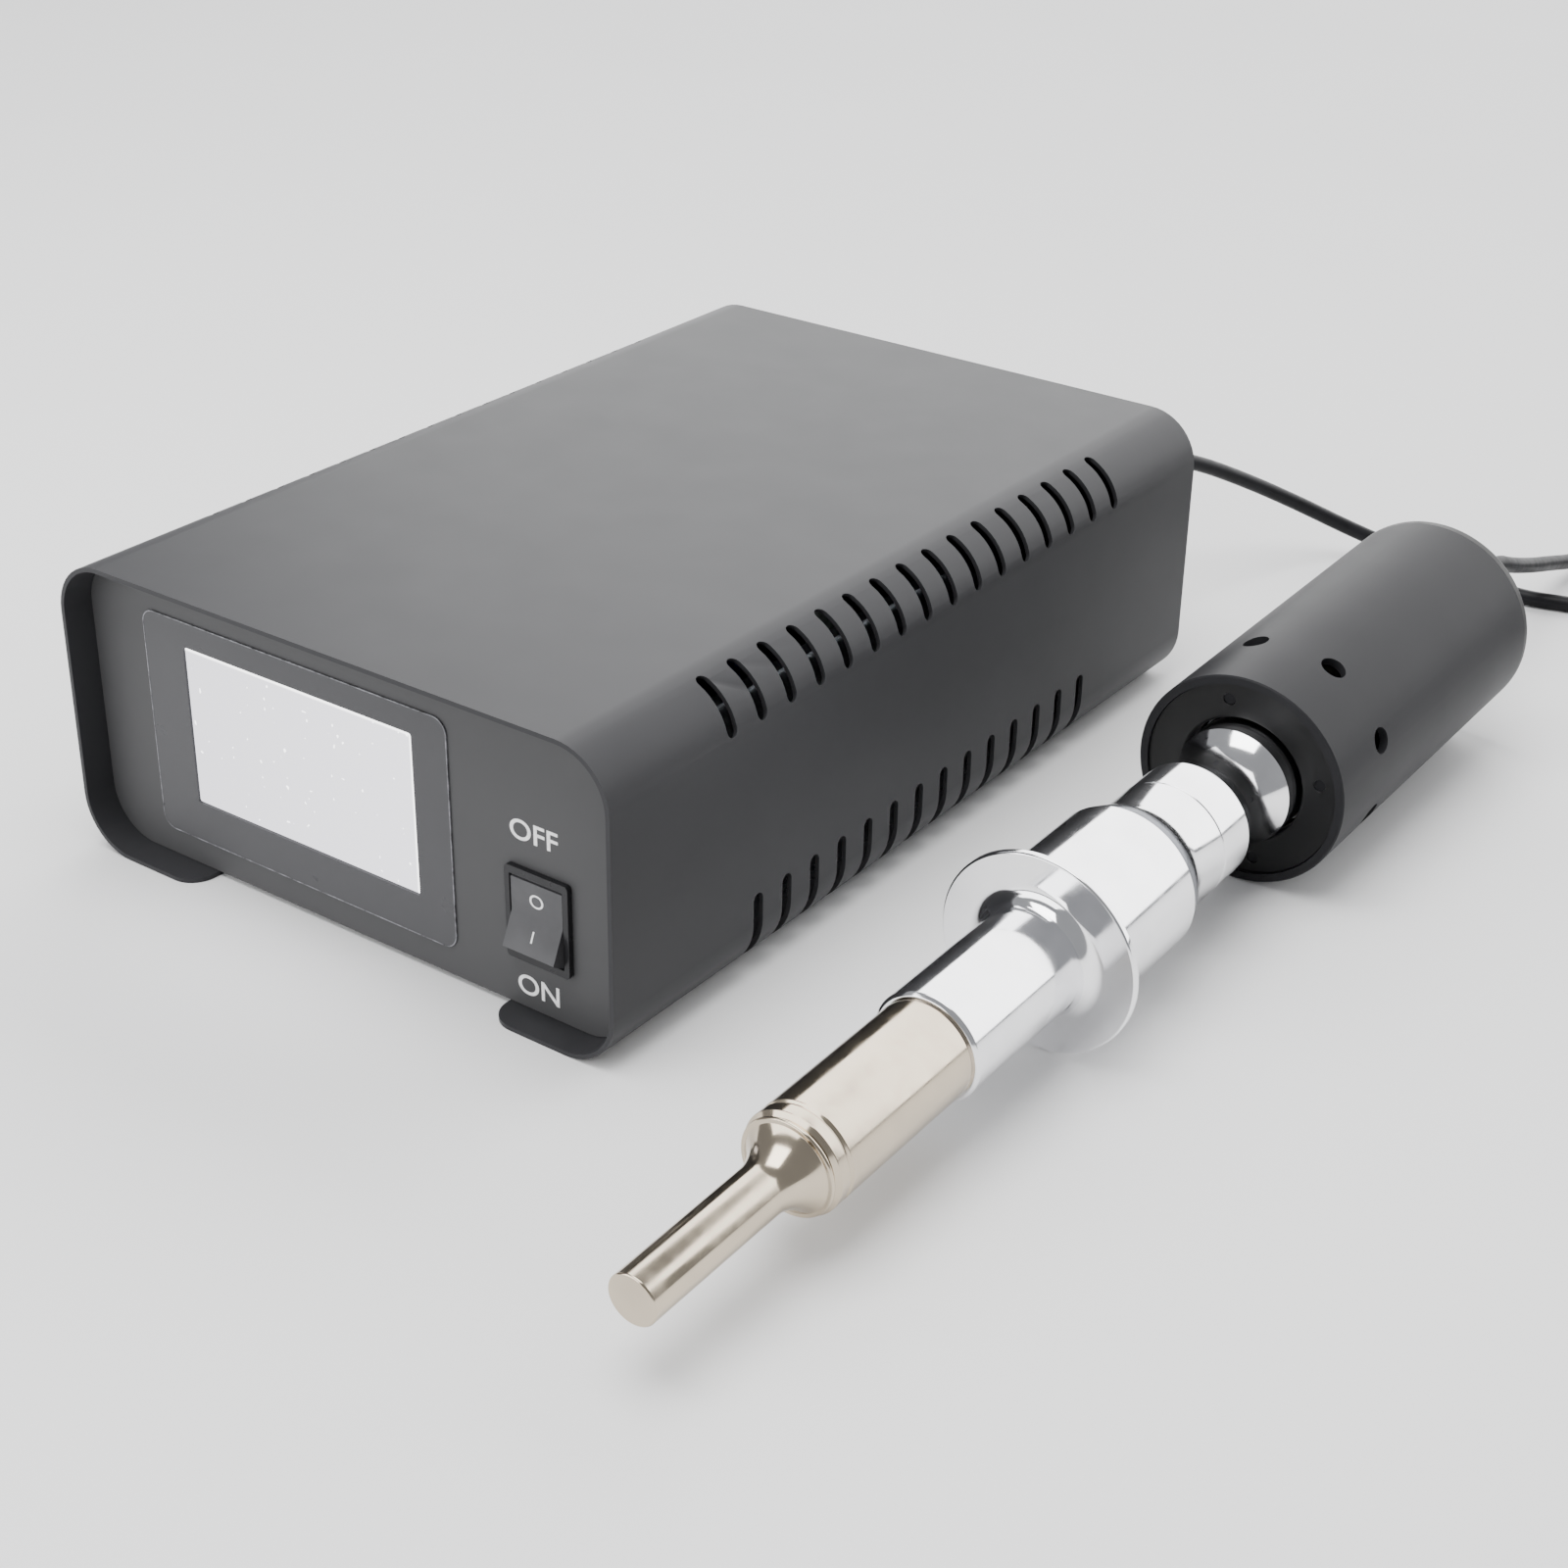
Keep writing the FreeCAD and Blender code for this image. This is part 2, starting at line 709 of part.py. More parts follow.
def make_rear_panel():
    body = panel_body("rear_panel", rear_inner, foot_forward=True)
    openings = new_sketch(body, "XZ_Plane", height=-rear_inner)
    draw_circle(openings, (fan_x, fan_z), fan_bore)
    for x, z in fan_hole_places():
        draw_circle(openings, (x, z), fan_screw + screw_gap)
    draw_rectangle(openings, (inlet_x, inlet_z), inlet_width + 2 * panel_gap, inlet_height + 2 * panel_gap)
    for side in (-1, 1):
        draw_circle(openings, (inlet_x + side * inlet_ear_x, inlet_z), fan_screw + screw_gap)
    draw_circle(openings, (gland_x, gland_z), gland_thread + panel_gap)
    pocket(body, openings, panel_wall * 3, both_ways=True)
    finish(body, "rear_panel")


def flat_screw(name, x, y):
    """A countersunk screw, head down, from under a foot of the cover into the tray."""
    head_radius = 3.1
    shank = 1.5
    head = doc.addObject("Part::Cone", name + "_head")
    bind(head, {"Radius1": head_radius, "Radius2": shank, "Height": cover_wall})
    bind_base(head, (x, y, Size(0, "0")))
    return join(name, [head, rod(name + "_shank", (x, y, cover_wall), shank, tray_wall * 2)])


def pan_screw(name, base, shank, length, axis="z"):
    """A pan-head screw: the head stands on its base point, and the shank runs the other way."""
    head = 1.9 * shank
    rise = 1.2 * shank
    x, y, z = base
    back = {"x": (x - length, y, z), "y": (x, y - length, z), "z": (x, y, z - length)}[axis]
    return join(name, [rod(name + "_head", base, head, rise, axis),
                       rod(name + "_shank", back, shank, length, axis)])


def make_chassis_screws():
    under = []
    for y_index, y in enumerate(screw_ys()):
        for side in (-1, 1):
            under.append(flat_screw("cover_screw_%d%d" % (y_index, side + 1), side * screw_line, y))
    finish(group("cover_screws", under), "cover_screws")
    inside = []
    for y_index, y in enumerate(foot_screw_ys()):
        for x_index, x in enumerate(foot_screw_xs()):
            base = (x, y, tray_top + tray_wall)
            inside.append(pan_screw("panel_screw_%d%d" % (y_index, x_index), base, 1.5, tray_wall * 2))
    finish(group("panel_screws", inside), "panel_screws")


# Front panel pieces
barrel_width = bezel_width - 2 * barrel_border
barrel_height = bezel_height - 2 * barrel_border - 1.2
cavity_width = barrel_width - 2 * barrel_wall
cavity_height = barrel_height - 2 * barrel_wall


def make_screen():
    """A display module behind the panel whose glass fills the window."""
    body = new_body("touch_screen")
    module = new_sketch(body, "XZ_Plane", height=-panel_back)
    draw_rectangle(module, (screen_x, screen_z), screen_width + 2 * module_border,
                   screen_height + 2 * module_border)
    pad(body, module, module_depth, reverse=True)
    glass = new_sketch(body, "XZ_Plane", height=-(panel_front - overlay_wall / 2))
    draw_rectangle(glass, (screen_x, screen_z), screen_width, screen_height)
    pad(body, glass, panel_wall + overlay_wall, reverse=True)
    finish(body, "touch_screen")


def make_overlay():
    """A thin clear film stuck on the panel, with a window for the glass."""
    body = new_body("display_overlay")
    film = new_sketch(body, "XZ_Plane", height=-(panel_front - overlay_wall))
    middle = (screen_x - 1.7, screen_z - 2.7)
    draw_rectangle(film, middle, screen_width + 2 * overlay_border + 1, screen_height + 1.5 * overlay_border,
                   overlay_corner)
    pad(body, film, overlay_wall, reverse=True)
    window = new_sketch(body, "XZ_Plane", height=-(panel_front - overlay_wall))
    draw_rectangle(window, (screen_x, screen_z), screen_width + screen_gap, screen_height + screen_gap)
    doc.recompute()
    pocket(body, window, overlay_wall * 3, both_ways=True)
    finish(body, "display_overlay")


def make_display_board():
    half_width = screen_width / 2 + module_border + 2 * spacer_radius + 1
    half_height = screen_height / 2 + module_border
    board_y = panel_back + spacer_length
    board = box("display_board_blank", (screen_x - half_width, board_y, screen_z - half_height),
                (screen_x + half_width, board_y + board_wall, screen_z + half_height))
    parts = box("display_board_parts", (screen_x - 22, board_y + board_wall, screen_z - 12),
                (screen_x + 22, board_y + board_wall + 5, screen_z + 12))
    finish(join("display_board", [board, parts]), "display_board")
    spacers = []
    for index, (side, level) in enumerate(((-1, -1), (-1, 1), (1, -1), (1, 1))):
        place = (screen_x + side * (half_width - spacer_radius), panel_back,
                 screen_z + level * (half_height - spacer_radius))
        spacers.append(rod("display_spacer_%d" % index, place, spacer_radius, spacer_length, "y"))
    finish(group("display_spacers", spacers), "display_spacers")


def make_switch_body():
    """The switch housing: a bezel on the panel and a barrel behind it, open in front for the paddle."""
    body = new_body("switch_body")
    bezel = new_sketch(body, "XZ_Plane", height=-bezel_front)
    draw_rectangle(bezel, (switch_x, switch_z), bezel_width, bezel_height, Size(1.5, "1.5"))
    pad(body, bezel, bezel_rise, reverse=True)
    barrel = new_sketch(body, "XZ_Plane", height=-(bezel_front + bezel_rise / 2))
    draw_rectangle(barrel, (switch_x, switch_z), barrel_width, barrel_height)
    pad(body, barrel, barrel_depth, reverse=True)
    doc.recompute()
    cavity = new_sketch(body, "XZ_Plane", height=-bezel_front)
    draw_rectangle(cavity, (switch_x, switch_z), cavity_width, cavity_height)
    pocket(body, cavity, (barrel_depth - 4) * 2, both_ways=True)
    hinge = new_sketch(body, "YZ_Plane")
    draw_circle(hinge, (pivot_y, switch_z), paddle_pin + 0.05)
    pocket(body, hinge, cover_width, both_ways=True)
    finish(body, "switch_body")


def make_paddle():
    """The rocker: two arms in a shallow V on a pin. It rests with its upper arm pressed in, at off."""
    end_radius = cavity_height / 2 - paddle_gap
    forward = math.asin((paddle_pivot_depth.value - 0.25) / end_radius.value)
    forward += math.radians(paddle_swing.value)
    behind = math.radians(-12)
    tip = (end_radius * math.sin(forward), end_radius * math.cos(forward))
    heel = (end_radius * math.sin(behind), end_radius * math.cos(behind))
    valley = tip[0] - tip[1] * math.tan(math.radians(paddle_swing.value))
    back = paddle_pin * 1.6
    outline = [(-tip[0], tip[1]), (-heel[0], heel[1]), (back, back), (back, -back), (-heel[0], -heel[1]),
               (-tip[0], -tip[1]), (-valley, 0)]
    body = new_body("switch_paddle")
    drawing = new_sketch(body, "YZ_Plane", height=-(cavity_width / 2 - paddle_gap))
    draw_outline(drawing, outline, {0: (end_radius, False), 4: (end_radius, False)})
    pad(body, drawing, cavity_width - 2 * paddle_gap)
    pin = new_sketch(body, "YZ_Plane", height=-(barrel_width / 2 - 0.2))
    draw_circle(pin, (0, 0), paddle_pin)
    pad(body, pin, barrel_width - 0.4)
    turn = FreeCAD.Rotation(X_AXIS, -paddle_swing.value)
    pivot = V(switch_x.value, pivot_y.value, switch_z.value)
    finish(body, "switch_paddle", FreeCAD.Placement(home + pivot, turn))


def make_switch_terminals():
    blades = []
    start = bezel_front + bezel_rise / 2 + barrel_depth
    for index, (side, level) in enumerate(((-1, -1), (-1, 1), (1, -1), (1, 1))):
        x = switch_x + side * 5
        z = switch_z + level * 6.5
        blades.append(box("switch_blade_%d" % index, (x - 3.15, start, z - 0.4),
                          (x + 3.15, start + 9, z + 0.4)))
    finish(group("switch_terminals", blades), "switch_terminals")


# Rear panel pieces
inlet_ear_x = inlet_width / 2 + inlet_ear / 2


def fan_hole_places():
    half = fan_hole_spacing / 2
    return [(fan_x + side * half, fan_z + level * half) for side in (-1, 1) for level in (-1, 1)]


def make_fan_frame():
    """A square frame round the rotor, with a spider of four arms on its inner side."""
    body = new_body("fan_frame")
    front = rear_inner - fan_depth
    arm = 3.5
    arms = new_sketch(body, "XZ_Plane", height=-front)
    draw_rectangle(arms, (fan_x, fan_z), fan_side - 1, Size(arm, "3.5"))
    pad(body, arms, 3, reverse=True)
    uprights = new_sketch(body, "XZ_Plane", height=-front)
    draw_rectangle(uprights, (fan_x, fan_z), Size(arm, "3.5"), fan_side - 1)
    pad(body, uprights, 3, reverse=True)
    hub = new_sketch(body, "XZ_Plane", height=-front)
    draw_circle(hub, (fan_x, fan_z), fan_hub + 1)
    pad(body, hub, 3, reverse=True)
    frame = new_sketch(body, "XZ_Plane", height=-front)
    draw_rectangle(frame, (fan_x, fan_z), fan_side, fan_side, Size(5, "5"))
    draw_circle(frame, (fan_x, fan_z), fan_bore)
    for place in fan_hole_places():
        draw_circle(frame, place, fan_screw + screw_gap)
    pad(body, frame, fan_depth, reverse=True)
    doc.recompute()
    bearing = new_sketch(body, "XZ_Plane", height=-front)
    draw_circle(bearing, (fan_x, fan_z), fan_shaft + bearing_gap)
    pocket(body, bearing, 20, both_ways=True)
    finish(body, "fan_frame")


def blade_section(name, place, radius, pitch, chord, wall):
    """One cross-section of a fan blade: a thin slanted bar at its distance from the axis."""
    along = V(math.cos(pitch), math.sin(pitch), 0) * (chord / 2)
    across = V(-math.sin(pitch), math.cos(pitch), 0) * (wall / 2)
    section = doc.addObject("Part::Polygon", name)
    corners = [along + across, across * 1.6, across - along, -across - along, -across * 0.2, along - across]
    section.Nodes = [V(corner.x, corner.y, radius) for corner in corners]
    section.Close = True
    section.Placement = place
    return section


def make_fan_rotor():
    """A hub on a thin shaft, and seven twisted blades lofted from root to tip."""
    front = rear_inner - fan_depth + 3.5
    hub_length = fan_depth - 6
    edge = 2
    drum = turned("fan_hub", [(0, -3.2), (fan_shaft, -3.2), (fan_shaft, 0), (fan_hub, 0),
                              (fan_hub, hub_length - edge), (fan_hub - edge, hub_length),
                              (0, hub_length)], {4: (edge, True)})
    tip_radius = fan_bore.value - fan_tip_gap.value
    chord = hub_length.value
    blade_count = 7
    blades = []
    for index in range(blade_count):
        turn = FreeCAD.Rotation(Z_AXIS, 360 * index / blade_count)
        outward = FreeCAD.Rotation(X_AXIS, 90).multiply(FreeCAD.Rotation(Y_AXIS, 90))
        place = FreeCAD.Placement(V(0, 0, chord / 2), turn.multiply(outward))
        loft = doc.addObject("Part::Loft", "fan_blade_%d" % index)
        loft.Sections = [blade_section("blade_root_%d" % index, place, fan_hub.value - 3, math.radians(48),
                                       chord * 0.8, 1.8),
                         blade_section("blade_tip_%d" % index, place, tip_radius, math.radians(28),
                                       chord * 1.25, 1.2)]
        loft.Solid = True
        loft.Ruled = True
        blades.append(loft)
    rotor = join("fan_rotor", [drum] + blades)
    centre = V(fan_x.value, front.value, fan_z.value)
    finish(rotor, "fan_rotor", FreeCAD.Placement(home + centre, FreeCAD.Rotation(X_AXIS, -90)))


def make_fan_guard():
    """Rings and crossed bars over the fan opening, with an eye at each screw."""
    body = new_body("fan_guard")
    bars = new_sketch(body, "XZ_Plane", height=-rear_face)
    wire = guard_wire
    reach = fan_hole_spacing / math.sqrt(2) - 1
    slant = wire / math.sqrt(8)
    arm = (reach / math.sqrt(2), reach / math.sqrt(2))
    first = [(fan_x + arm[0] + slant, fan_z + arm[1] - slant),
             (fan_x + arm[0] - slant, fan_z + arm[1] + slant),
             (fan_x - arm[0] - slant, fan_z - arm[1] + slant),
             (fan_x - arm[0] + slant, fan_z - arm[1] - slant)]
    draw_outline(bars, first)
    pad(body, bars, wire, reverse=True)
    crossing = new_sketch(body, "XZ_Plane", height=-rear_face)
    second = [(fan_x + arm[0] - slant, fan_z - arm[1] - slant),
              (fan_x + arm[0] + slant, fan_z - arm[1] + slant),
              (fan_x - arm[0] + slant, fan_z + arm[1] + slant),
              (fan_x - arm[0] - slant, fan_z + arm[1] - slant)]
    draw_outline(crossing, second)
    pad(body, crossing, wire, reverse=True)
    for ring in range(4):
        outer = fan_bore - 1 - ring * 8.5
        hoop = new_sketch(body, "XZ_Plane", height=-(rear_face + wire))
        draw_circle(hoop, (fan_x, fan_z), outer)
        draw_circle(hoop, (fan_x, fan_z), outer - wire)
        pad(body, hoop, wire, reverse=True)
        doc.recompute()
    for place in fan_hole_places():
        eye = new_sketch(body, "XZ_Plane", height=-rear_face)
        draw_circle(eye, place, fan_screw + 2.5)
        pad(body, eye, wire, reverse=True)
    doc.recompute()
    holes = new_sketch(body, "XZ_Plane", height=-rear_face)
    for place in fan_hole_places():
        draw_circle(holes, place, fan_screw + screw_gap)
    pocket(body, holes, wire * 4, both_ways=True)
    finish(body, "fan_guard")
    screws = []
    for index, (x, z) in enumerate(fan_hole_places()):
        length = fan_depth / 2 + panel_wall + guard_wire
        seat = (x, rear_face + guard_wire, z)
        screws.append(pan_screw("fan_screw_%d" % index, seat, fan_screw, length, "y"))
    finish(group("fan_screws", screws), "fan_screws")


socket_z = inlet_z + inlet_height / 2 - socket_height / 2 - 2.2
drawer_z = inlet_z - inlet_height / 2 + drawer_height / 2 + 2.2


def make_inlet():
    """Mains inlet: a flanged block with a keyed socket above and a fuse drawer's well below."""
    body = new_body("mains_inlet")
    flange_front = rear_face
    flange = new_sketch(body, "XZ_Plane", height=-flange_front)
    draw_rectangle(flange, (inlet_x, inlet_z), inlet_width + 2 * inlet_ear, inlet_height + 2, Size(3, "3"))
    pad(body, flange, inlet_flange, reverse=True)
    block = new_sketch(body, "XZ_Plane", height=-(flange_front - inlet_depth))
    draw_rectangle(block, (inlet_x, inlet_z), inlet_width, inlet_height)
    pad(body, block, inlet_depth + inlet_flange / 2, reverse=True)
    doc.recompute()
    mouth = new_sketch(body, "XZ_Plane", height=-(flange_front + inlet_flange))
    key = 4
    left = inlet_x - socket_width / 2
    right = inlet_x + socket_width / 2
    low = socket_z - socket_height / 2
    high = socket_z + socket_height / 2
    draw_outline(mouth, [(left, low), (right, low), (right, high - key), (right - key, high),
                         (left + key, high), (left, high - key)])
    pocket(body, mouth, socket_depth, reverse=True)
    well = new_sketch(body, "XZ_Plane", height=-(flange_front + inlet_flange))
    draw_rectangle(well, (inlet_x, drawer_z), drawer_width + 2 * drawer_gap, drawer_height + 2 * drawer_gap)
    pocket(body, well, drawer_depth + drawer_gap, reverse=True)
    holes = new_sketch(body, "XZ_Plane", height=-flange_front)
    for side in (-1, 1):
        draw_circle(holes, (inlet_x + side * inlet_ear_x, inlet_z), fan_screw + screw_gap)
    pocket(body, holes, inlet_flange * 4, both_ways=True)
    finish(body, "mains_inlet")
    make_inlet_pins()
    screws = []
    for side in (-1, 1):
        seat = (inlet_x + side * inlet_ear_x, rear_face + inlet_flange, inlet_z)
        screws.append(pan_screw("inlet_screw_%d" % (side + 1), seat, fan_screw, 8, "y"))
    finish(group("inlet_screws", screws), "inlet_screws")


def make_inlet_pins():
    """Three flat pins that stand on the floor of the socket."""
    floor_y = rear_face + inlet_flange - socket_depth
    pins = []
    for index, (across, up) in enumerate(((-7, -1.5), (7, -1.5), (0, 2.5))):
        x = inlet_x + across
        z = socket_z + up
        pins.append(box("inlet_pin_%d" % index, (x - 1, floor_y, z - 2),
                        (x + 1, floor_y + socket_depth - 2, z + 2)))
    finish(group("inlet_pins", pins), "inlet_pins")


def make_fuse_drawer():
    """The drawer pulls straight out and brings the fuse with it."""
    front = rear_face + inlet_flange - drawer_depth
    body = new_body("fuse_drawer")
    block = new_sketch(body, "XZ_Plane", height=-front)
    draw_rectangle(block, (inlet_x, drawer_z), drawer_width, drawer_height)
    pad(body, block, drawer_depth, reverse=True)
    doc.recompute()
    trough = new_sketch(body, "XY_Plane", height=drawer_z + drawer_height / 2)
    half = fuse_length / 2 + 0.3
    trough_y = front + 6
    near = trough_y - fuse_radius - 0.1
    far = trough_y + fuse_radius + 0.1
    draw_outline(trough, [(inlet_x - half, near), (inlet_x + half, near), (inlet_x + half, far),
                          (inlet_x - half, far)])
    pocket(body, trough, drawer_height - 1.2)
    finish(body, "fuse_drawer")
    seat = drawer_z - drawer_height / 2 + 1.2 + fuse_radius
    fuse_body = rod("fuse_body", (inlet_x - fuse_length / 2, trough_y, seat), fuse_radius, fuse_length, "x")
    finish(fuse_body, "fuse")


def gland_profile():
    """Half section of a cable gland from its seat: nut, dome and a ribbed strain relief."""
    nut = 7
    dome = 13
    thin = cable_diameter / 2 + 1.4
    points = [(0, 0), (gland_radius, 0), (gland_radius, nut), (gland_radius - 1.5, dome),
              (thin + 1.2, dome + 2.5)]
    for rib in range(4):
        foot = dome + 4 + 3.4 * rib
        points += [(thin, foot), (thin + 1, foot + 0.4), (thin + 1, foot + 1.8), (thin, foot + 2.2)]
    return points + [(thin, gland_length), (0, gland_length)]


def make_generator_gland():
    outside = turned("generator_gland_nut", gland_profile())
    thread = doc.addObject("Part::Cylinder", "generator_gland_thread")
    bind(thread, {"Radius": gland_thread, "Height": panel_wall + 6})
    bind_base(thread, (0, 0, -(panel_wall + 6)))
    place = FreeCAD.Placement(home + V(gland_x.value, rear_face.value, gland_z.value), TURNS["y"])
    finish(join("generator_gland", [outside, thread]), "generator_gland", place)
    nut = new_body("gland_locknut")
    hexagon = new_sketch(nut, "XY_Plane", height=-(panel_wall + 4))
    draw_polygon(hexagon, (Size(0, "0"), Size(0, "0")), gland_thread + 3, 6)
    draw_circle(hexagon, (0, 0), gland_thread + 0.1)
    pad(nut, hexagon, 4)
    finish(nut, "gland_locknut", place)


# Inside the generator
def make_power_board():
    half = board_width / 2
    body = new_body("power_board")
    drawing = new_sketch(body, "XY_Plane", height=board_bottom)
    draw_outline(drawing, [(-half, board_front), (half, board_front), (half, board_rear),
                           (-half, board_rear)])
    pad(body, drawing, board_wall)
    finish(body, "power_board")
    spacers = []
    for index, y in enumerate((board_front + 6, (board_front + board_rear) / 2, board_rear - 6)):
        for side in (-1, 1):
            spacers.append(rod("board_spacer_%d%d" % (index, side + 1), (side * (half - 6), y, tray_top), 3,
                               board_clearance))
    finish(group("board_spacers", spacers), "board_spacers")


sink_height = size("sink_height", 48)
sink_base = size("sink_base", 5)
sink_fin = size("sink_fin", 1.8)
sink_fin_reach = size("sink_fin_reach", 17)
sink_margin = size("sink_margin", 30)
sink_fins = 7


def make_heat_sink(side, name):
    """A finned bar on the board: the fins point out, and the transistors sit on the flat inner face."""
    body = new_body(name)
    outer = board_width / 2 - 1
    front = board_front + sink_margin
    rear = board_rear - sink_margin
    plate = new_sketch(body, "XZ_Plane", height=-front)
    inner_x = side * (outer - sink_fin_reach - sink_base)
    root_x = side * (outer - sink_fin_reach)
    draw_outline(plate, [(inner_x, board_top), (root_x, board_top), (root_x, board_top + sink_height),
                         (inner_x, board_top + sink_height)])
    pad(body, plate, rear - front, reverse=True)
    fin = new_sketch(body, "XZ_Plane", height=-front)
    low = board_top + 1
    inside = side * (outer - sink_fin_reach - 1)
    draw_outline(fin, [(inside, low), (side * outer, low), (side * outer, low + sink_fin),
                       (inside, low + sink_fin)])
    fin_pad = pad(body, fin, rear - front, reverse=True)
    doc.recompute()
    row_of(body, fin_pad, "Z_Axis", sink_height - 2 - sink_fin, sink_fins)
    finish(body, name)


def make_transistors():
    parts = []
    face = board_width / 2 - 1 - sink_fin_reach - sink_base
    front = board_front + sink_margin
    span = board_rear - board_front - 2 * sink_margin
    for index, share in enumerate((0.15, 0.4, 0.65, 0.9)):
        for side in (-1, 1):
            y = front + span * share
            near = side * face
            far = side * (face - 5)
            low_x, high_x = (near, far) if side < 0 else (far, near)
            parts.append(box("transistor_%d%d" % (index, side + 1), (low_x, y - 8, board_top + 4),
                             (high_x, y + 8, board_top + 25)))
            parts.append(box("transistor_legs_%d%d" % (index, side + 1), (low_x + 2, y - 6, board_top),
                             (high_x - 2, y + 6, board_top + 4)))
    finish(group("power_transistors", parts), "power_transistors")


core_width = size("core_width", 65)
core_depth = size("core_depth", 27)
core_height = size("core_height", 54)
core_leg = size("core_leg", 10)


def make_transformer():
    """Two E cores face to face, with the winding round the middle leg."""
    y = board_front + (board_rear - board_front) * 0.62
    low = board_top
    body = new_body("transformer_core")
    drawing = new_sketch(body, "XZ_Plane", height=-(y - core_depth / 2))
    draw_rectangle(drawing, (Size(0, "0"), low + core_height / 2), core_width, core_height)
    window_width = (core_width - 4 * core_leg) / 2
    for side in (-1, 1):
        draw_rectangle(drawing, (side * (core_leg + window_width / 2), low + core_height / 2), window_width,
                       core_height - 2 * core_leg)
    pad(body, drawing, core_depth, reverse=True)
    finish(body, "transformer_core")
    winding = new_body("transformer_winding")
    coil = new_sketch(winding, "XY_Plane", height=low + core_leg + 0.3)
    draw_rectangle(coil, (Size(0, "0"), y), 2 * (core_leg + window_width) - 0.6,
                   core_depth + 2 * window_width, Size(5, "5"))
    draw_rectangle(coil, (Size(0, "0"), y), 2 * core_leg + 0.6, core_depth + 0.6)
    pad(winding, coil, core_height - 2 * core_leg - 0.6)
    finish(winding, "transformer_winding")


def make_board_parts():
    """The large parts that stand on the power board."""
    span = board_rear - board_front
    ring_y = board_front + span * 0.3
    inductor = turned("tuning_inductor", chamfered_ring(Size(12, "12"), Size(30, "30"), Size(0, "0"),
                                                        Size(18, "18"), Size(4, "4")))
    finish(inductor, "tuning_inductor", FreeCAD.Placement(home + V(-22, ring_y.value, board_top.value),
                                                          FreeCAD.Rotation()))
    cans = []
    for index in range(3):
        can_y = board_front + 24 + index * 37
        cans.append(rod("capacitor_%d" % index, (Size(32, "32"), can_y, board_top), 16, 50))
    finish(group("smoothing_capacitors", cans), "smoothing_capacitors")
    finish(box("bridge_block", (Size(-14, "-14"), board_front + 4, board_top),
               (Size(14, "14"), board_front + 14, board_top + 30)), "bridge_rectifier")
    choke_y = board_rear - 20
    finish(box("choke_block", (Size(24, "24"), choke_y - 16, board_top),
               (Size(54, "54"), choke_y + 16, board_top + 28)), "line_filter")


# Probe, turned parts on the probe's own axis: local z is the station
def round_holes(body, circle_radius, hole_radius, phase, count, depth, height=0, plane="XY_Plane"):
    drawing = new_sketch(body, plane, height=height)
    angle = math.radians(value_of(phase))
    draw_circle(drawing, (circle_radius * math.cos(angle), -(circle_radius * math.sin(angle))), hole_radius)
    doc.recompute()
    hole = pocket(body, drawing, depth, both_ways=True)
    ring_of(body, hole, "Z_Axis", count)
    doc.recompute()


def make_housing():
    """A tube with a ring of cooling holes; its front rim carries the probe on the table."""
    body = new_body("probe_housing")
    inner = housing_radius - housing_wall
    end = housing_length - rear_cap_length
    drawing = new_sketch(body, "XZ_Plane")
    draw_outline(drawing, [(inner, 0), (housing_radius - rim_chamfer, 0), (housing_radius, rim_chamfer),
                           (housing_radius, end), (inner, end)])
    revolve(body, drawing)
    doc.recompute()
    turn = FreeCAD.Rotation(Z_AXIS, -side_hole_phase.value)
    hole_sketch = new_sketch(body, "YZ_Plane", side=FreeCAD.Placement(V(), FreeCAD.Rotation()))
    draw_circle(hole_sketch, (0, side_hole_station), side_hole)
    hole = pocket(body, hole_sketch, housing_radius * 1.1, reverse=True)
    ring_of(body, hole, "Z_Axis", side_holes)
    doc.recompute()
    finish(body, "probe_housing", PROBE.multiply(FreeCAD.Placement(V(), turn)))


def make_front_cap():
    outer = housing_radius - housing_wall - cap_fit
    end = cap_recess + cap_length
    body = turned("probe_front_cap", [(cap_opening, cap_recess + 0.8), (cap_opening + 0.8, cap_recess),
                                      (outer, cap_recess), (outer, end), (cap_opening, end)])
    cap_holes(body, cap_recess, end)
    finish(body, "probe_front_cap", PROBE)


def cap_holes(body, face, end):
    """Stepped holes for the cap screws: a wide seat for each head and a narrow way for its shank."""
    round_holes(body, cap_screw_circle, cap_screw + 0.1, cap_screw_phase, cap_screws, cap_length / 2, face)
    round_holes(body, cap_screw_circle, 1.25, cap_screw_phase, cap_screws, (end - face) * 2.5, face)


flange_start = cap_recess + cap_length + 2 * seal_section
flange_end = flange_start + node_flange_length
ring_start = flange_end + 2 * seal_section
ring_end = ring_start + clamp_ring_length
rear_cap_face = housing_length - rear_cap_length
spigot_start = rear_cap_face - spigot_length


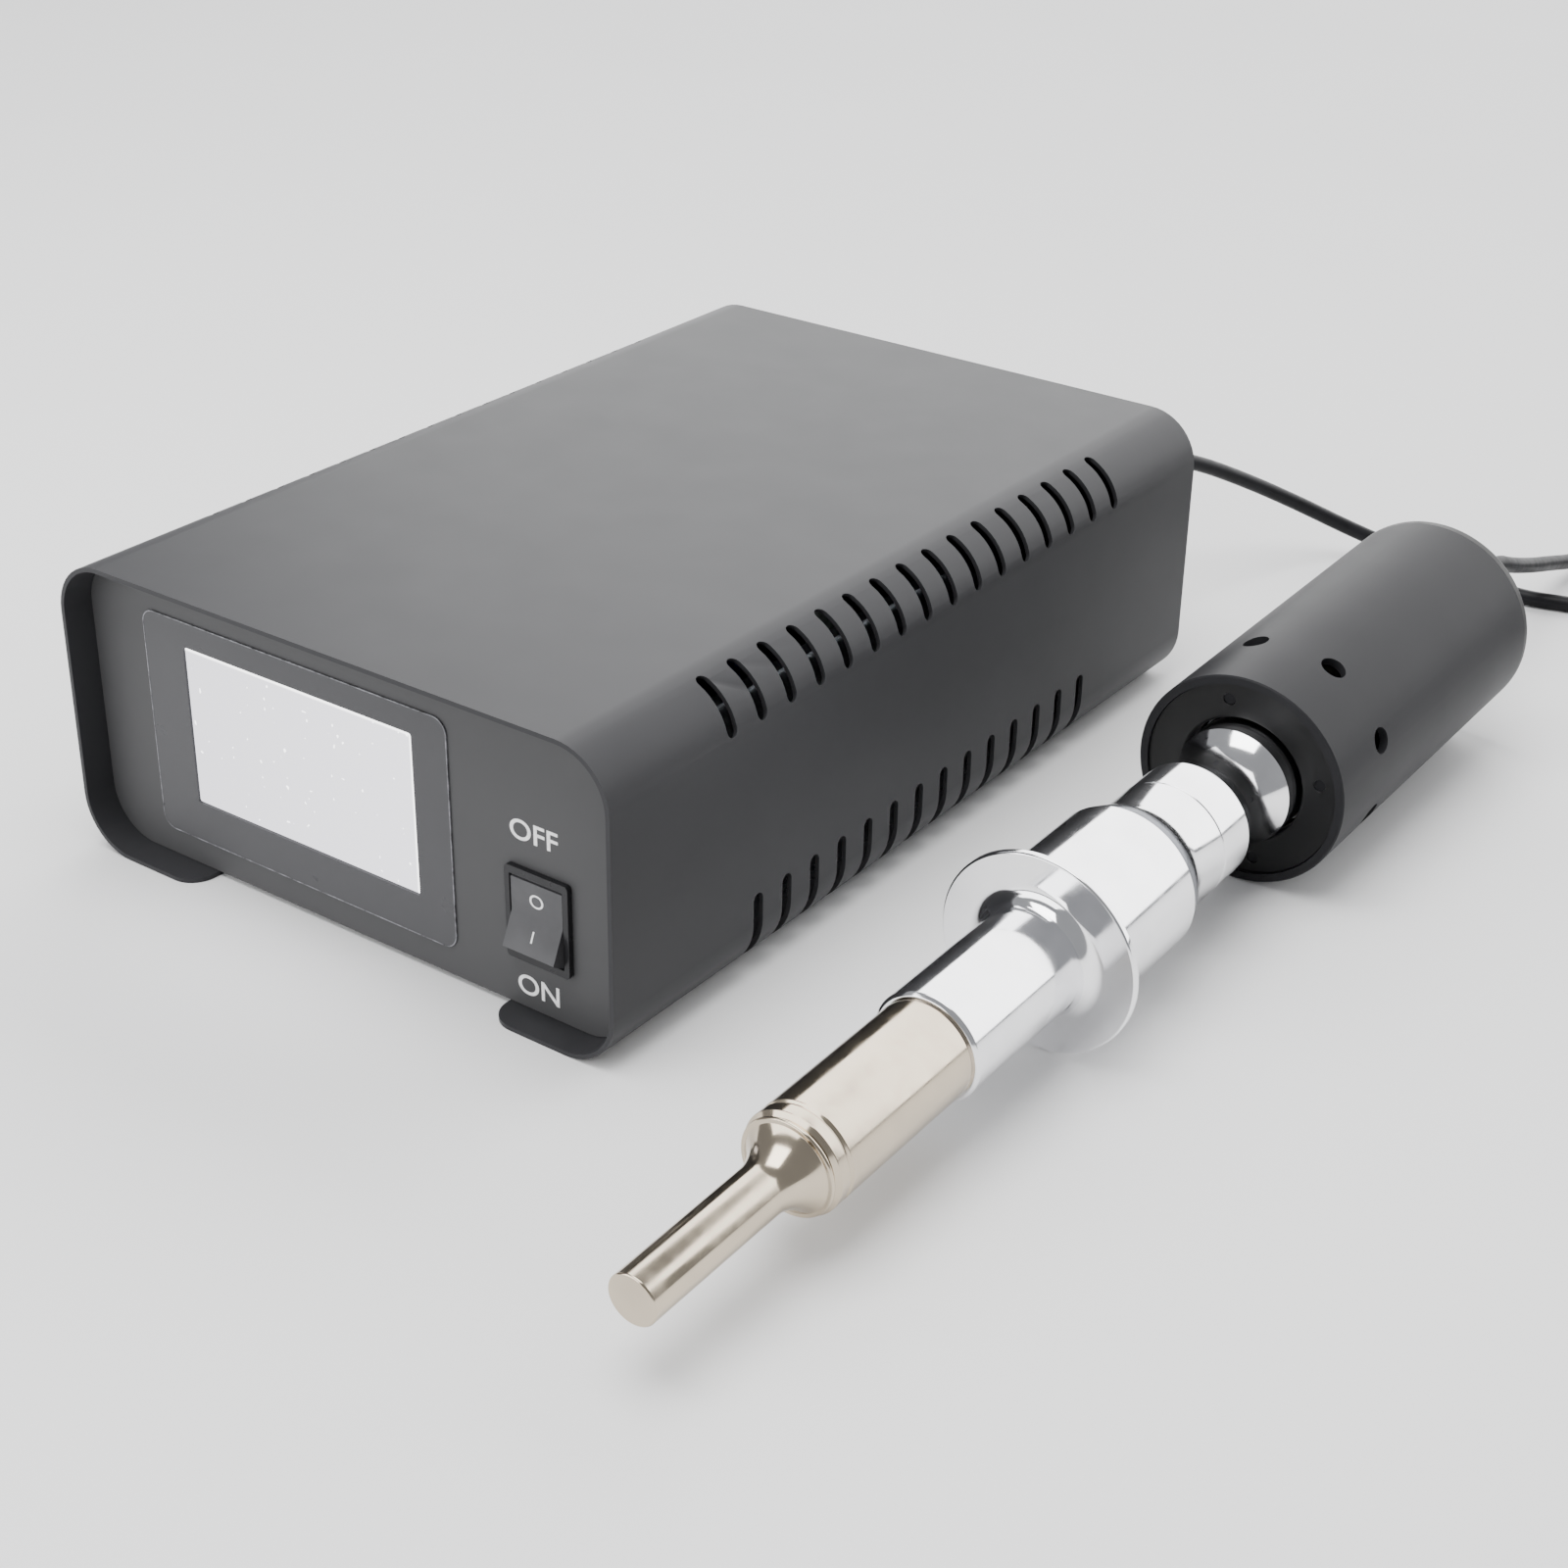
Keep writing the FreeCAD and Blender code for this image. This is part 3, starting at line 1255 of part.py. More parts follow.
def make_clamp():
    """Seals each side of the driver's flange, and the ring behind them that the cap screws pull on."""
    outer = housing_radius - housing_wall - cap_fit
    ring = turned("clamp_ring", ring_points(cap_opening, outer, ring_start, ring_end))
    round_holes(ring, cap_screw_circle, 1.25, cap_screw_phase, cap_screws, clamp_ring_length * 3, ring_start)
    finish(ring, "clamp_ring", PROBE)
    seals = []
    for name, station in (("front", flange_start - seal_section), ("rear", ring_start - seal_section)):
        inner = node_flange - 1.6 - seal_section
        outer = node_flange - 1.6 + seal_section
        low = station - seal_section
        high = station + seal_section
        seals.append(turned("seal_" + name, chamfered_ring(inner, outer, low, high, seal_section / 2)))
    finish(group("sealing_rings", seals), "sealing_rings", PROBE)
    screws = []
    pillars = []
    rear_screws = []
    for index in range(cap_screws):
        angle = math.radians(cap_screw_phase.value + 360 * index / cap_screws)
        x = cap_screw_circle * math.cos(angle)
        y = -(cap_screw_circle * math.sin(angle))
        head = rod("cap_screw_head_%d" % index, (x, y, cap_recess + 0.4), cap_screw, cap_length / 4 - 0.4)
        shank = rod("cap_screw_shank_%d" % index, (x, y, cap_recess + 1), 1.2, ring_end - cap_recess - 1)
        screws.append(join("cap_screw_%d" % index, [head, shank]))
        pillars.append(rod("pillar_%d" % index, (x, y, ring_end), 2.4, spigot_start - ring_end))
        rear_screws.append(pan_screw("rear_cap_screw_%d" % index, (x, y, housing_length), 1.2,
                                     housing_length - spigot_start))
    finish(group("cap_screws", screws), "front_cap_screws", PROBE)
    finish(group("pillars", pillars), "tie_pillars", PROBE)
    finish(group("rear_cap_screw_set", rear_screws), "rear_cap_screws", PROBE)


def make_rear_cap():
    """The cap closes the tube, with a spigot inside it and a rounded rear edge."""
    inner = housing_radius - housing_wall - cap_fit
    edge = 1.5
    body = turned("probe_rear_cap", [(0, spigot_start), (inner, spigot_start), (inner, rear_cap_face),
                                     (housing_radius, rear_cap_face), (housing_radius, housing_length - edge),
                                     (housing_radius - edge, housing_length), (0, housing_length)],
                  {4: (Size(edge, "1.5"), True)})
    round_holes(body, cap_screw_circle, 1.25, cap_screw_phase, cap_screws, housing_length * 2, spigot_start)
    finish(body, "probe_rear_cap", PROBE)
    turned("probe_gland", [(radius, housing_length + station) for radius, station in gland_profile()],
           place=PROBE)


def make_driver():
    """The front driver: a necked bar with the thin flange that the seals hold."""
    bore = bolt_radius + thread_gap
    points = [(0, -(driver_reach - stud_reach)), (bore, -(driver_reach - stud_reach)), (bore, -driver_reach),
              (driver_radius - seam, -driver_reach), (driver_radius, -(driver_reach - seam)),
              (driver_radius, -(neck_start + collar_chamfer)), (driver_radius - collar_chamfer, -neck_start),
              (driver_radius, -neck_end), (driver_radius, flange_start), (node_flange, flange_start),
              (node_flange, flange_end), (driver_radius, flange_end), (driver_radius, driver_tail),
              (bore, driver_tail), (bore, driver_tail - stud_reach), (0, driver_tail - stud_reach)]
    turned("front_driver", points, {6: (neck_arc, False)}, PROBE)


def make_stack():
    """Piezo rings with thin electrodes between them, the back mass and the bolt that clamps all of it."""
    station = driver_tail
    plates = []
    outer = driver_radius
    for index in range(piezo_count + 1):
        plate = turned("electrode_%d" % index,
                       ring_points(piezo_bore, outer, station, station + electrode_wall))
        tab = box("electrode_tab_%d" % index, (outer - 2, -3, station),
                  (outer + 3.5, 3, station + electrode_wall))
        plates.append(join("electrode_plate_%d" % index, [plate, tab]))
        station = station + electrode_wall
        if index < piezo_count:
            turned("piezo_ring_%d" % (index + 1),
                   ring_points(piezo_bore, outer, station, station + piezo_length), place=PROBE)
            station = station + piezo_length
    finish(group("electrodes", plates), "electrodes", PROBE)
    mass_end = station + back_mass_length
    turned("back_mass", [(bolt_radius + 0.3, station), (outer, station), (outer, mass_end - 2),
                         (outer - 2, mass_end), (bolt_radius + 0.3, mass_end)], place=PROBE)
    socket = 4
    bolt_tip = driver_tail - stud_reach + 1
    bolt_top = mass_end + bolt_head_length
    turned("clamp_bolt", [(0, bolt_tip), (bolt_radius, bolt_tip), (bolt_radius, mass_end),
                          (bolt_head, mass_end), (bolt_head, bolt_top), (socket, bolt_top),
                          (socket, bolt_top - bolt_head_length / 2), (0, bolt_top - bolt_head_length / 2)],
           place=PROBE)


def make_booster():
    """The booster: taper, barrel, a thin flange at its node, a concave shoulder and the front shank."""
    bore = bolt_radius + thread_gap
    rear = -driver_reach
    front = -horn_station
    flange_rear = -flange_station
    flange_front = -(flange_station + flange_wall)
    taper_end = -(taper_start + taper_length)
    points = [(0, front + stud_reach), (bore, front + stud_reach), (bore, front),
              (shank_radius - joint_chamfer, front), (shank_radius, front + joint_chamfer),
              (shank_radius, flange_front - flange_fillet), (shank_radius + flange_fillet, flange_front),
              (flange_radius - rim_chamfer, flange_front), (flange_radius, flange_front + rim_chamfer),
              (flange_radius, flange_rear), (barrel_radius + 3, flange_rear),
              (barrel_radius, flange_rear + 3), (barrel_radius, taper_end), (driver_radius, -taper_start),
              (driver_radius, rear - seam), (driver_radius - seam, rear), (bore, rear),
              (bore, rear - stud_reach), (0, rear - stud_reach)]
    turned("booster", points, {5: (flange_fillet, False), 10: (Size(3, "3"), False)}, PROBE)


def make_horn():
    """The titanium horn: a grooved barrel, a small bead, a hollow flare and a slim round tip."""
    bore = bolt_radius + thread_gap
    rear = -horn_station
    tip = rear - horn_length
    flare_start = tip + rod_length
    rim = flare_start + flare_length
    rise = flare_rim - rod_radius
    flare_arc = (flare_length * flare_length + rise * rise) / (2 * rise)
    bead_end = rim + lip_length
    collar = bead_end + lip_length
    groove = collar + groove_spacing - groove_width
    edge = 0.4
    groove_floor = horn_radius - groove_depth
    points = [(0, tip), (rod_radius - edge, tip), (rod_radius, tip + edge), (rod_radius, flare_start),
              (flare_rim, rim), (lip_radius - edge, rim), (lip_radius, rim + edge),
              (lip_radius, bead_end - edge), (flare_rim + edge, bead_end), (horn_radius, collar),
              (horn_radius, groove - groove_width / 2), (groove_floor, groove - groove_width / 6),
              (groove_floor, groove + groove_width / 6), (horn_radius, groove + groove_width / 2),
              (horn_radius, rear - joint_chamfer), (horn_radius - joint_chamfer, rear), (bore, rear),
              (bore, rear - stud_reach), (0, rear - stud_reach)]
    turned("titanium_horn", points, {3: (flare_arc, False)}, PROBE)


def make_studs():
    half = stud_reach - 1
    for name, station in (("booster_stud", -driver_reach), ("horn_stud", -horn_station)):
        stud = doc.addObject("Part::Cylinder", name + "_bar")
        bind(stud, {"Radius": bolt_radius, "Height": 2 * half})
        bind_base(stud, (0, 0, station - half))
        finish(stud, name, PROBE)


# Output cable: from the generator's gland, through a coil of the spare length, to the probe's gland
coil_centre = V(256, 522, 0)
coil_radius = 35.0
coil_turns_wide = 4
coil_turns_high = 2


def tube_path(points):
    """Straight runs joined by tangent arcs, each as large as its two runs allow."""
    edges = []
    start = points[0]
    radii = []
    for before, corner, after in zip(points, points[1:], points[2:]):
        into = (corner - before).normalize()
        out = (after - corner).normalize()
        half_turn = into.getAngle(out) / 2
        shorter = min((corner - before).Length, (after - corner).Length)
        setback = 0.45 * shorter
        radii.append(setback / math.tan(half_turn))
        bisector = (out - into).normalize()
        first = corner - into * setback
        last = corner + out * setback
        centre_distance = radii[-1] / math.cos(half_turn)
        middle = corner + bisector * (centre_distance - radii[-1])
        edges.append(Part.LineSegment(start, first).toShape())
        edges.append(Part.Arc(first, middle, last).toShape())
        start = last
    edges.append(Part.LineSegment(start, points[-1]).toShape())
    return Part.Wire(edges), radii


def make_tube(name, points):
    route = [V(*point) for point in points]
    path, radii = tube_path(route)
    circle = Part.Circle(route[0], (route[1] - route[0]).normalize(), cable_diameter.value / 2)
    section = Part.Wire([circle.toShape()])
    shape = path.makePipeShell([section], True, False)
    ideal = math.pi * cable_diameter.value ** 2 / 4 * path.Length
    print(name, "length", round(path.Length, 1), "least radius", round(min(radii), 1),
          "volume ratio", round(shape.Volume / ideal, 4))
    tube = doc.addObject("Part::Feature", name)
    tube.Shape = shape
    finish(tube, name)


gland_end = rear_face.value + gland_length.value
probe_cable_start = probe_start + probe_direction * probe_end_station
generator_run = [(gland_x.value, gland_end, gland_z.value), (gland_x.value, gland_end + 20, gland_z.value),
                 (60, 388, 58), (69, 412, 50), (80, 435, 38), (94, 456, 25), (113, 471, 13), (137, 478, 5.5),
                 (163, 476, 3.1), (187, 469, 3.1), (207, 472.5, 3.1), (228, 478.5, 3.1), (249.9, 478.4, 3.1)]
probe_run = [tuple(probe_cable_start), tuple(probe_cable_start + probe_direction * 24),
             (196.5, 428, 34), (195, 456, 24), (193.5, 484, 15), (193, 507, 7.5), (197, 530, 4),
             (209, 549, 4.5), (228, 561, 7.5), (250, 566, 9)]


def make_cable():
    make_tube("cable_generator_run", generator_run)
    make_tube("cable_probe_run", probe_run)
    half_width = coil_turns_wide * cable_diameter / 2
    coil = new_body("cable_coil")
    drawing = new_sketch(coil, "XY_Plane")
    centre = (Size(coil_centre.x, "%.1f" % coil_centre.x), Size(coil_centre.y, "%.1f" % coil_centre.y))
    draw_circle(drawing, centre, coil_radius + half_width)
    draw_circle(drawing, centre, coil_radius - half_width)
    pad(coil, drawing, coil_turns_high * cable_diameter)
    finish(coil, "cable_coil")


make_cover()
make_tray()
make_front_panel()
make_rear_panel()
make_chassis_screws()
make_screen()
make_overlay()
make_display_board()
make_switch_body()
make_paddle()
make_switch_terminals()
make_fan_frame()
make_fan_rotor()
make_fan_guard()
make_inlet()
make_fuse_drawer()
make_generator_gland()
make_power_board()
make_heat_sink(-1, "heat_sink_left")
make_heat_sink(1, "heat_sink_right")
make_transistors()
make_transformer()
make_board_parts()
make_housing()
make_front_cap()
make_clamp()
make_rear_cap()
make_driver()
make_stack()
make_booster()
make_horn()
make_studs()
make_cable()

doc.recompute()
for item in doc.Objects:
    if "Invalid" in item.State or "Error" in item.State:
        raise RuntimeError("%s failed: %s" % (item.Name, item.State))
for node in nodes:
    if node.Shape.isNull() or not node.Shape.isValid():
        raise RuntimeError(node.Label + " has no valid shape")

os.makedirs("parts", exist_ok=True)
for node in nodes:
    node.Shape.exportStep(os.path.join("parts", node.Label + ".step"))
print("nodes", len(nodes))
print("home", [round(length, 3) for length in home], "tilt", round(math.degrees(tilt), 4))
print("probe start", [round(length, 3) for length in PROBE.Base], "direction",
      [round(part, 6) for part in probe_direction])
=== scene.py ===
"""The looks of the ultrasonic processor: a bench generator and the probe on its output cable.

Lengths are millimetres. The generator's are in its own frame (x from its middle, y from the front rim of
its cover, z from the table), and at() turns them into metres in the row frame. The probe's are radii and
stations along its axis, counted from the front rim of its housing, and on_probe() does the same for them.
"""
import json
import math

import bpy
from mathutils import Matrix, Vector


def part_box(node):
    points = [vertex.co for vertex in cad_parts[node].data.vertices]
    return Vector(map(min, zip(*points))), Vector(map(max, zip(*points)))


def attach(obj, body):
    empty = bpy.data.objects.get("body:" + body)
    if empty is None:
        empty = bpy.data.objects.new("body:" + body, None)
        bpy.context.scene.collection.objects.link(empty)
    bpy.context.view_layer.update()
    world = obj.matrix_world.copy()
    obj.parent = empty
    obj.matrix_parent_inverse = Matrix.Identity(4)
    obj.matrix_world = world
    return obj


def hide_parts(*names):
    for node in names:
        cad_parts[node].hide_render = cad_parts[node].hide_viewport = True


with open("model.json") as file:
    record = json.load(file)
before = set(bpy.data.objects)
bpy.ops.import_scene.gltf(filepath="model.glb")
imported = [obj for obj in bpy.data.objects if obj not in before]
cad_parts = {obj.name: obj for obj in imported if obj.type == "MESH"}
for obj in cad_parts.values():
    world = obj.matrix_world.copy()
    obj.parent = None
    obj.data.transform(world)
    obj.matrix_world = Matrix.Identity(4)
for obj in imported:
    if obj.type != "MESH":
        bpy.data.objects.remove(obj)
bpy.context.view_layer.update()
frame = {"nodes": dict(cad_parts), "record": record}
nodes = frame["nodes"]
slot_of = {entry["node"]: entry["material_slot"] for entry in frame["record"]["subparts"]}
body_of = {name: body for body, names in frame["record"]["behaviour"]["bodies"].items() for name in names}
MM = 0.001
ACROSS = Vector((1, 0, 0))
FORWARD = Vector((0, -1, 0))
REARWARD = Vector((0, 1, 0))

cover_low, cover_high = (Vector(corner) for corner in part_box("cover"))
HOME = Vector(((cover_low.x + cover_high.x) / 2, cover_low.y, 0))


def at(x, y, z):
    """A point of the generator's frame, in millimetres, as a point of the row frame in metres."""
    return HOME + Vector((x, y, z)) * MM


def span(name):
    """The lowest and highest corner of a CAD node in the generator's frame, in millimetres."""
    return [Vector([round(value, 3) for value in (Vector(corner) - HOME) / MM]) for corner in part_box(name)]


# The probe's own frame: its axis, and the middle of its housing's front rim at station 0
mounts = {mount["name"]: mount for mount in frame["record"]["mounts"]}
FLANGE_STATION = -121.55
AXIS = -Vector(mounts["booster_flange"]["axis"])
PROBE = Vector(mounts["booster_flange"]["pos_m"]) - AXIS * FLANGE_STATION * MM
ABOVE = ACROSS.cross(AXIS)
TIP_UP = math.atan2(AXIS.z, AXIS.y)


def facing(origin, ahead):
    """A place whose local z looks along ahead, with its local x across the object."""
    ahead = ahead.normalized()
    sideways = (ACROSS - ahead * ACROSS.dot(ahead)).normalized()
    place = Matrix((sideways, ahead.cross(sideways), ahead)).transposed().to_4x4()
    place.translation = origin
    return place


ON_PROBE = facing(PROBE, AXIS)


def on_probe(radius, angle, station):
    """A point at a radius and angle (from +X towards up) round the probe's axis, at a station along it."""
    turn = math.radians(angle)
    return PROBE + (ACROSS * math.cos(turn) + ABOVE * math.sin(turn)) * radius * MM + AXIS * station * MM


# The photograph's viewpoint: the camera's place, its angles in degrees, and its lens
CAMERA_X, CAMERA_Y, CAMERA_Z = 510.01, -473.13, 428.66
CAMERA_AZIMUTH, CAMERA_ELEVATION, CAMERA_ROLL = 35.86, 28.38, -0.8474
LENS, SENSOR_WIDTH = 60.31, 36
SHIFT_X, SHIFT_Y = 0.0014, 0.0011
# How many metres the camera sees
FARTHEST = 20


def make_camera():
    """The camera at the photograph's viewpoint."""
    angles = (CAMERA_AZIMUTH, CAMERA_ELEVATION, CAMERA_ROLL)
    azimuth, elevation, roll = (math.radians(angle) for angle in angles)
    ahead = Vector((-math.sin(azimuth) * math.cos(elevation), math.cos(azimuth) * math.cos(elevation),
                    -math.sin(elevation)))
    level = ahead.cross(Vector((0, 0, 1))).normalized()
    upright = level.cross(ahead)
    right = level * math.cos(roll) - upright * math.sin(roll)
    data = bpy.data.cameras.new("camera")
    data.lens = LENS
    data.sensor_width = SENSOR_WIDTH
    data.shift_x = SHIFT_X
    data.shift_y = SHIFT_Y
    data.clip_end = FARTHEST
    camera = bpy.data.objects.new("camera", data)
    bpy.context.collection.objects.link(camera)
    pose = Matrix((right, right.cross(ahead), -ahead)).transposed().to_4x4()
    pose.translation = at(CAMERA_X, CAMERA_Y, CAMERA_Z)
    camera.matrix_world = pose
    bpy.context.scene.camera = camera


make_camera()


# Sizes of the generator, most of them read from its CAD nodes
PANEL_FRONT = span("front_panel")[0].y
REAR_FACE = span("rear_panel")[1].y
module_low, module_high = span("touch_screen")
SCREEN_X, SCREEN_Z = (module_low.x + module_high.x) / 2, (module_low.z + module_high.z) / 2
SCREEN_WIDTH, SCREEN_HEIGHT, SCREEN_THICKNESS, SCREEN_CORNER = 95, 53.9, 2.2, 0.8
SCREEN_FRONT = PANEL_FRONT + 0.05
MODULE_FRONT = SCREEN_FRONT + 2
film_low, film_high = span("display_overlay")
FILM_X, FILM_Z, FILM_FRONT = (film_low.x + film_high.x) / 2, (film_low.z + film_high.z) / 2, film_low.y
FILM_WIDTH, FILM_HEIGHT = film_high.x - film_low.x, film_high.z - film_low.z
FILM_THICKNESS, FILM_CORNER = 0.46, 5
switch_low, switch_high = span("switch_body")
SWITCH_X = (switch_low.x + switch_high.x) / 2
GLAND_X, GLAND_Z, GLAND_LENGTH = 51, 64, 32

# Stations of the probe: the ends of its pieces, and the holes for the studs that hold them together
TIP_END, HORN_JOINT, DRIVER_JOINT, DRIVER_REAR, HOUSING_END = -305.3, -180, -47, 42, 145.3
STUD_RADIUS, STUD_DEPTH = 6.05, 20


# Materials
def linear(code):
    """An sRGB hex colour as linear red, green, blue and alpha."""
    channels = [int(code[i:i + 2], 16) / 255 for i in (1, 3, 5)]
    return [c / 12.92 if c <= 0.04045 else ((c + 0.055) / 1.055) ** 2.4 for c in channels] + [1]


def shade(code, factor):
    """A hex colour made lighter or darker in sRGB by a factor."""
    return "#" + "".join("%02x" % min(255, round(int(code[i:i + 2], 16) * factor)) for i in (1, 3, 5))


def add(tree, kind, values=None, links=None, **settings):
    """Add a shader node, set its fields and its inputs' values, and link other nodes' outputs into it."""
    made = tree.nodes.new("ShaderNode" + kind)
    for field, value in settings.items():
        setattr(made, field, value)
    for name, value in (values or {}).items():
        made.inputs[name].default_value = value
    for name, output in (links or {}).items():
        tree.links.new(output, made.inputs[name])
    return made


# Nearly all of a noise's values lie between these two
NOISE_LOW, NOISE_HIGH = 0.3, 0.7
# How many smudges of the gloss fit across one cloud of the colour, and how far the grain shows
SMUDGES_PER_CLOUD = 2.2
GRAIN_STRENGTH = 0.4


def surface(name, colour, roughness, metallic=0.0, cloud=10, spread=0.06, smudge=0.15, grain=0.8,
            height=0.01, ring=0, **sockets):
    """A finish whose colour and gloss vary in clouds of a real size, with a grain that raises the surface.

    cloud, grain and height are in millimetres, and spread and smudge are shares of the colour and of the
    roughness. Where ring is given, the grain is drawn out round the probe's axis that many times, as the
    marks of a lathe are. A height of 0 leaves the surface smooth, as glass is.
    """
    material = bpy.data.materials.new(name)
    material.use_nodes = True
    material.diffuse_color = linear(colour)
    tree = material.node_tree
    shader = tree.nodes["Principled BSDF"]
    shader.inputs["Base Color"].default_value = linear(colour)
    shader.inputs["Roughness"].default_value = roughness
    shader.inputs["Metallic"].default_value = metallic
    for socket, value in sockets.items():
        shader.inputs[socket.replace("_", " ")].default_value = value
    place = add(tree, "TexCoord").outputs["Object"]
    clouds = add(tree, "TexNoise", {"Scale": 1 / (cloud * MM), "Detail": 3}, {"Vector": place})
    tone = add(tree, "ValToRGB", None, {"Fac": clouds.outputs["Fac"]})
    ends = ((NOISE_LOW, 1 - spread), (NOISE_HIGH, 1 + spread))
    for stop, (position, factor) in zip(tone.color_ramp.elements, ends):
        stop.position = position
        stop.color = linear(shade(colour, factor))
    tree.links.new(tone.outputs["Color"], shader.inputs["Base Color"])
    smudges = add(tree, "TexNoise", {"Scale": SMUDGES_PER_CLOUD / (cloud * MM), "Detail": 4},
                  {"Vector": place})
    gloss = add(tree, "MapRange", {"From Min": NOISE_LOW, "From Max": NOISE_HIGH,
                                   "To Min": roughness * (1 - smudge), "To Max": roughness * (1 + smudge)},
                {"Value": smudges.outputs["Fac"]})
    tree.links.new(gloss.outputs[0], shader.inputs["Roughness"])
    if not height:
        return material
    fine = 1 / (grain * MM)
    drawn = (fine / ring, fine, fine / ring) if ring else (fine, fine, fine)
    along = add(tree, "Mapping", {"Scale": drawn, "Rotation": (-TIP_UP if ring else 0, 0, 0)},
                {"Vector": place}, vector_type="POINT")
    marks = add(tree, "TexNoise", {"Scale": 1.0, "Detail": 2}, {"Vector": along.outputs[0]})
    raised = add(tree, "Bump", {"Distance": height * MM, "Strength": GRAIN_STRENGTH},
                 {"Height": marks.outputs["Fac"]})
    tree.links.new(raised.outputs[0], shader.inputs["Normal"])
    return material


# The lit screen's painted highlight, a white line for its window's edge catching the light, starts and is
# full this far in from its right and top edges
PAINTED_HIGHLIGHT_START, PAINTED_HIGHLIGHT_FULL = 1.2, 0.6
# Its dust: the spacing of the noise, and the values of it at which a speck starts and is full
DUST_SPACING, DUST_START, DUST_FULL = 1.8, 0.79, 0.82
# How strongly its field glows, and its painted highlight line and its dust
FIELD_GLOW, HIGHLIGHT_AND_DUST_GLOW = 2.7, 4.5


def lit_display(name, pale, paler):
    """Backlit display behind glass: an even pale field with dust, and a painted highlight, a white line at
    its top and right.
    """
    material = surface(name, "#101012", 0.12, Specular_IOR_Level=0.4, height=0)
    tree = material.node_tree
    shader = tree.nodes["Principled BSDF"]
    place = add(tree, "TexCoord").outputs["Object"]
    axes = add(tree, "SeparateXYZ", None, {"Vector": place})
    left, right = (at(SCREEN_X + side * SCREEN_WIDTH / 2, 0, 0).x for side in (-1, 1))
    top = (SCREEN_Z + SCREEN_HEIGHT / 2) * MM
    across = add(tree, "MapRange", {"From Min": left, "From Max": right}, {"Value": axes.outputs["X"]})
    field = add(tree, "Mix", {6: linear(pale), 7: linear(paler)}, {0: across.outputs[0]}, data_type="RGBA")
    side = add(tree, "MapRange", {"From Min": right - PAINTED_HIGHLIGHT_START * MM, "From Max": right - PAINTED_HIGHLIGHT_FULL * MM},
               {"Value": axes.outputs["X"]})
    upper = add(tree, "MapRange", {"From Min": top - PAINTED_HIGHLIGHT_START * MM, "From Max": top - PAINTED_HIGHLIGHT_FULL * MM},
                {"Value": axes.outputs["Z"]})
    specks = add(tree, "TexNoise", {"Scale": 1 / (DUST_SPACING * MM), "Detail": 0}, {"Vector": place})
    dust = add(tree, "MapRange", {"From Min": DUST_START, "From Max": DUST_FULL},
               {"Value": specks.outputs["Fac"]})
    # The white line at the top and right is a painted highlight for the window's edge catching light; the
    # dust glows as brightly as it does
    edges = add(tree, "Math", None, {0: side.outputs[0], 1: upper.outputs[0]}, operation="MAXIMUM")
    highlight_and_dust = add(tree, "Math", None, {0: edges.outputs[0], 1: dust.outputs[0]}, operation="MAXIMUM")
    lit = add(tree, "Mix", {7: linear("#ffffff")}, {0: highlight_and_dust.outputs[0], 6: field.outputs[2]},
              data_type="RGBA")
    glow = add(tree, "MapRange", {"To Min": FIELD_GLOW, "To Max": HIGHLIGHT_AND_DUST_GLOW}, {"Value": highlight_and_dust.outputs[0]})
    tree.links.new(lit.outputs[2], shader.inputs["Emission Color"])
    tree.links.new(glow.outputs[0], shader.inputs["Emission Strength"])
    return material


# Polyester powder coat on sheet steel: dull satin with a fine orange peel
POWDER = {"cloud": 45, "spread": 0.02, "smudge": 0.03, "grain": 0.9, "height": 0.02,
          "Specular_IOR_Level": 0.14}
# Plastic from a spark-eroded tool: an even fine grain, a little shinier where it is handled
MOULDED = {"cloud": 12, "spread": 0.07, "smudge": 0.14, "grain": 0.6, "height": 0.012,
           "Specular_IOR_Level": 0.3}
# Plated sheet and wire: a soft uneven shine with faint clouds in the plating
PLATED = {"metallic": 1.0, "cloud": 7, "spread": 0.07, "smudge": 0.25, "grain": 0.6, "height": 0.008}
# Bar turned and polished on a lathe: faint rings round the axis, and smudges from handling. Real tool marks
# are about 0.1 mm apart, so these are drawn coarser than they are
TURNED = {"metallic": 1.0, "cloud": 16, "spread": 0.025, "smudge": 0.35, "grain": 0.35, "height": 0.002,
          "ring": 60}
# Flexible PVC and rubber: dull, with a faint bloom in patches
RUBBERY = {"cloud": 8, "spread": 0.12, "smudge": 0.15, "grain": 0.7, "height": 0.01,
           "Specular_IOR_Level": 0.12}

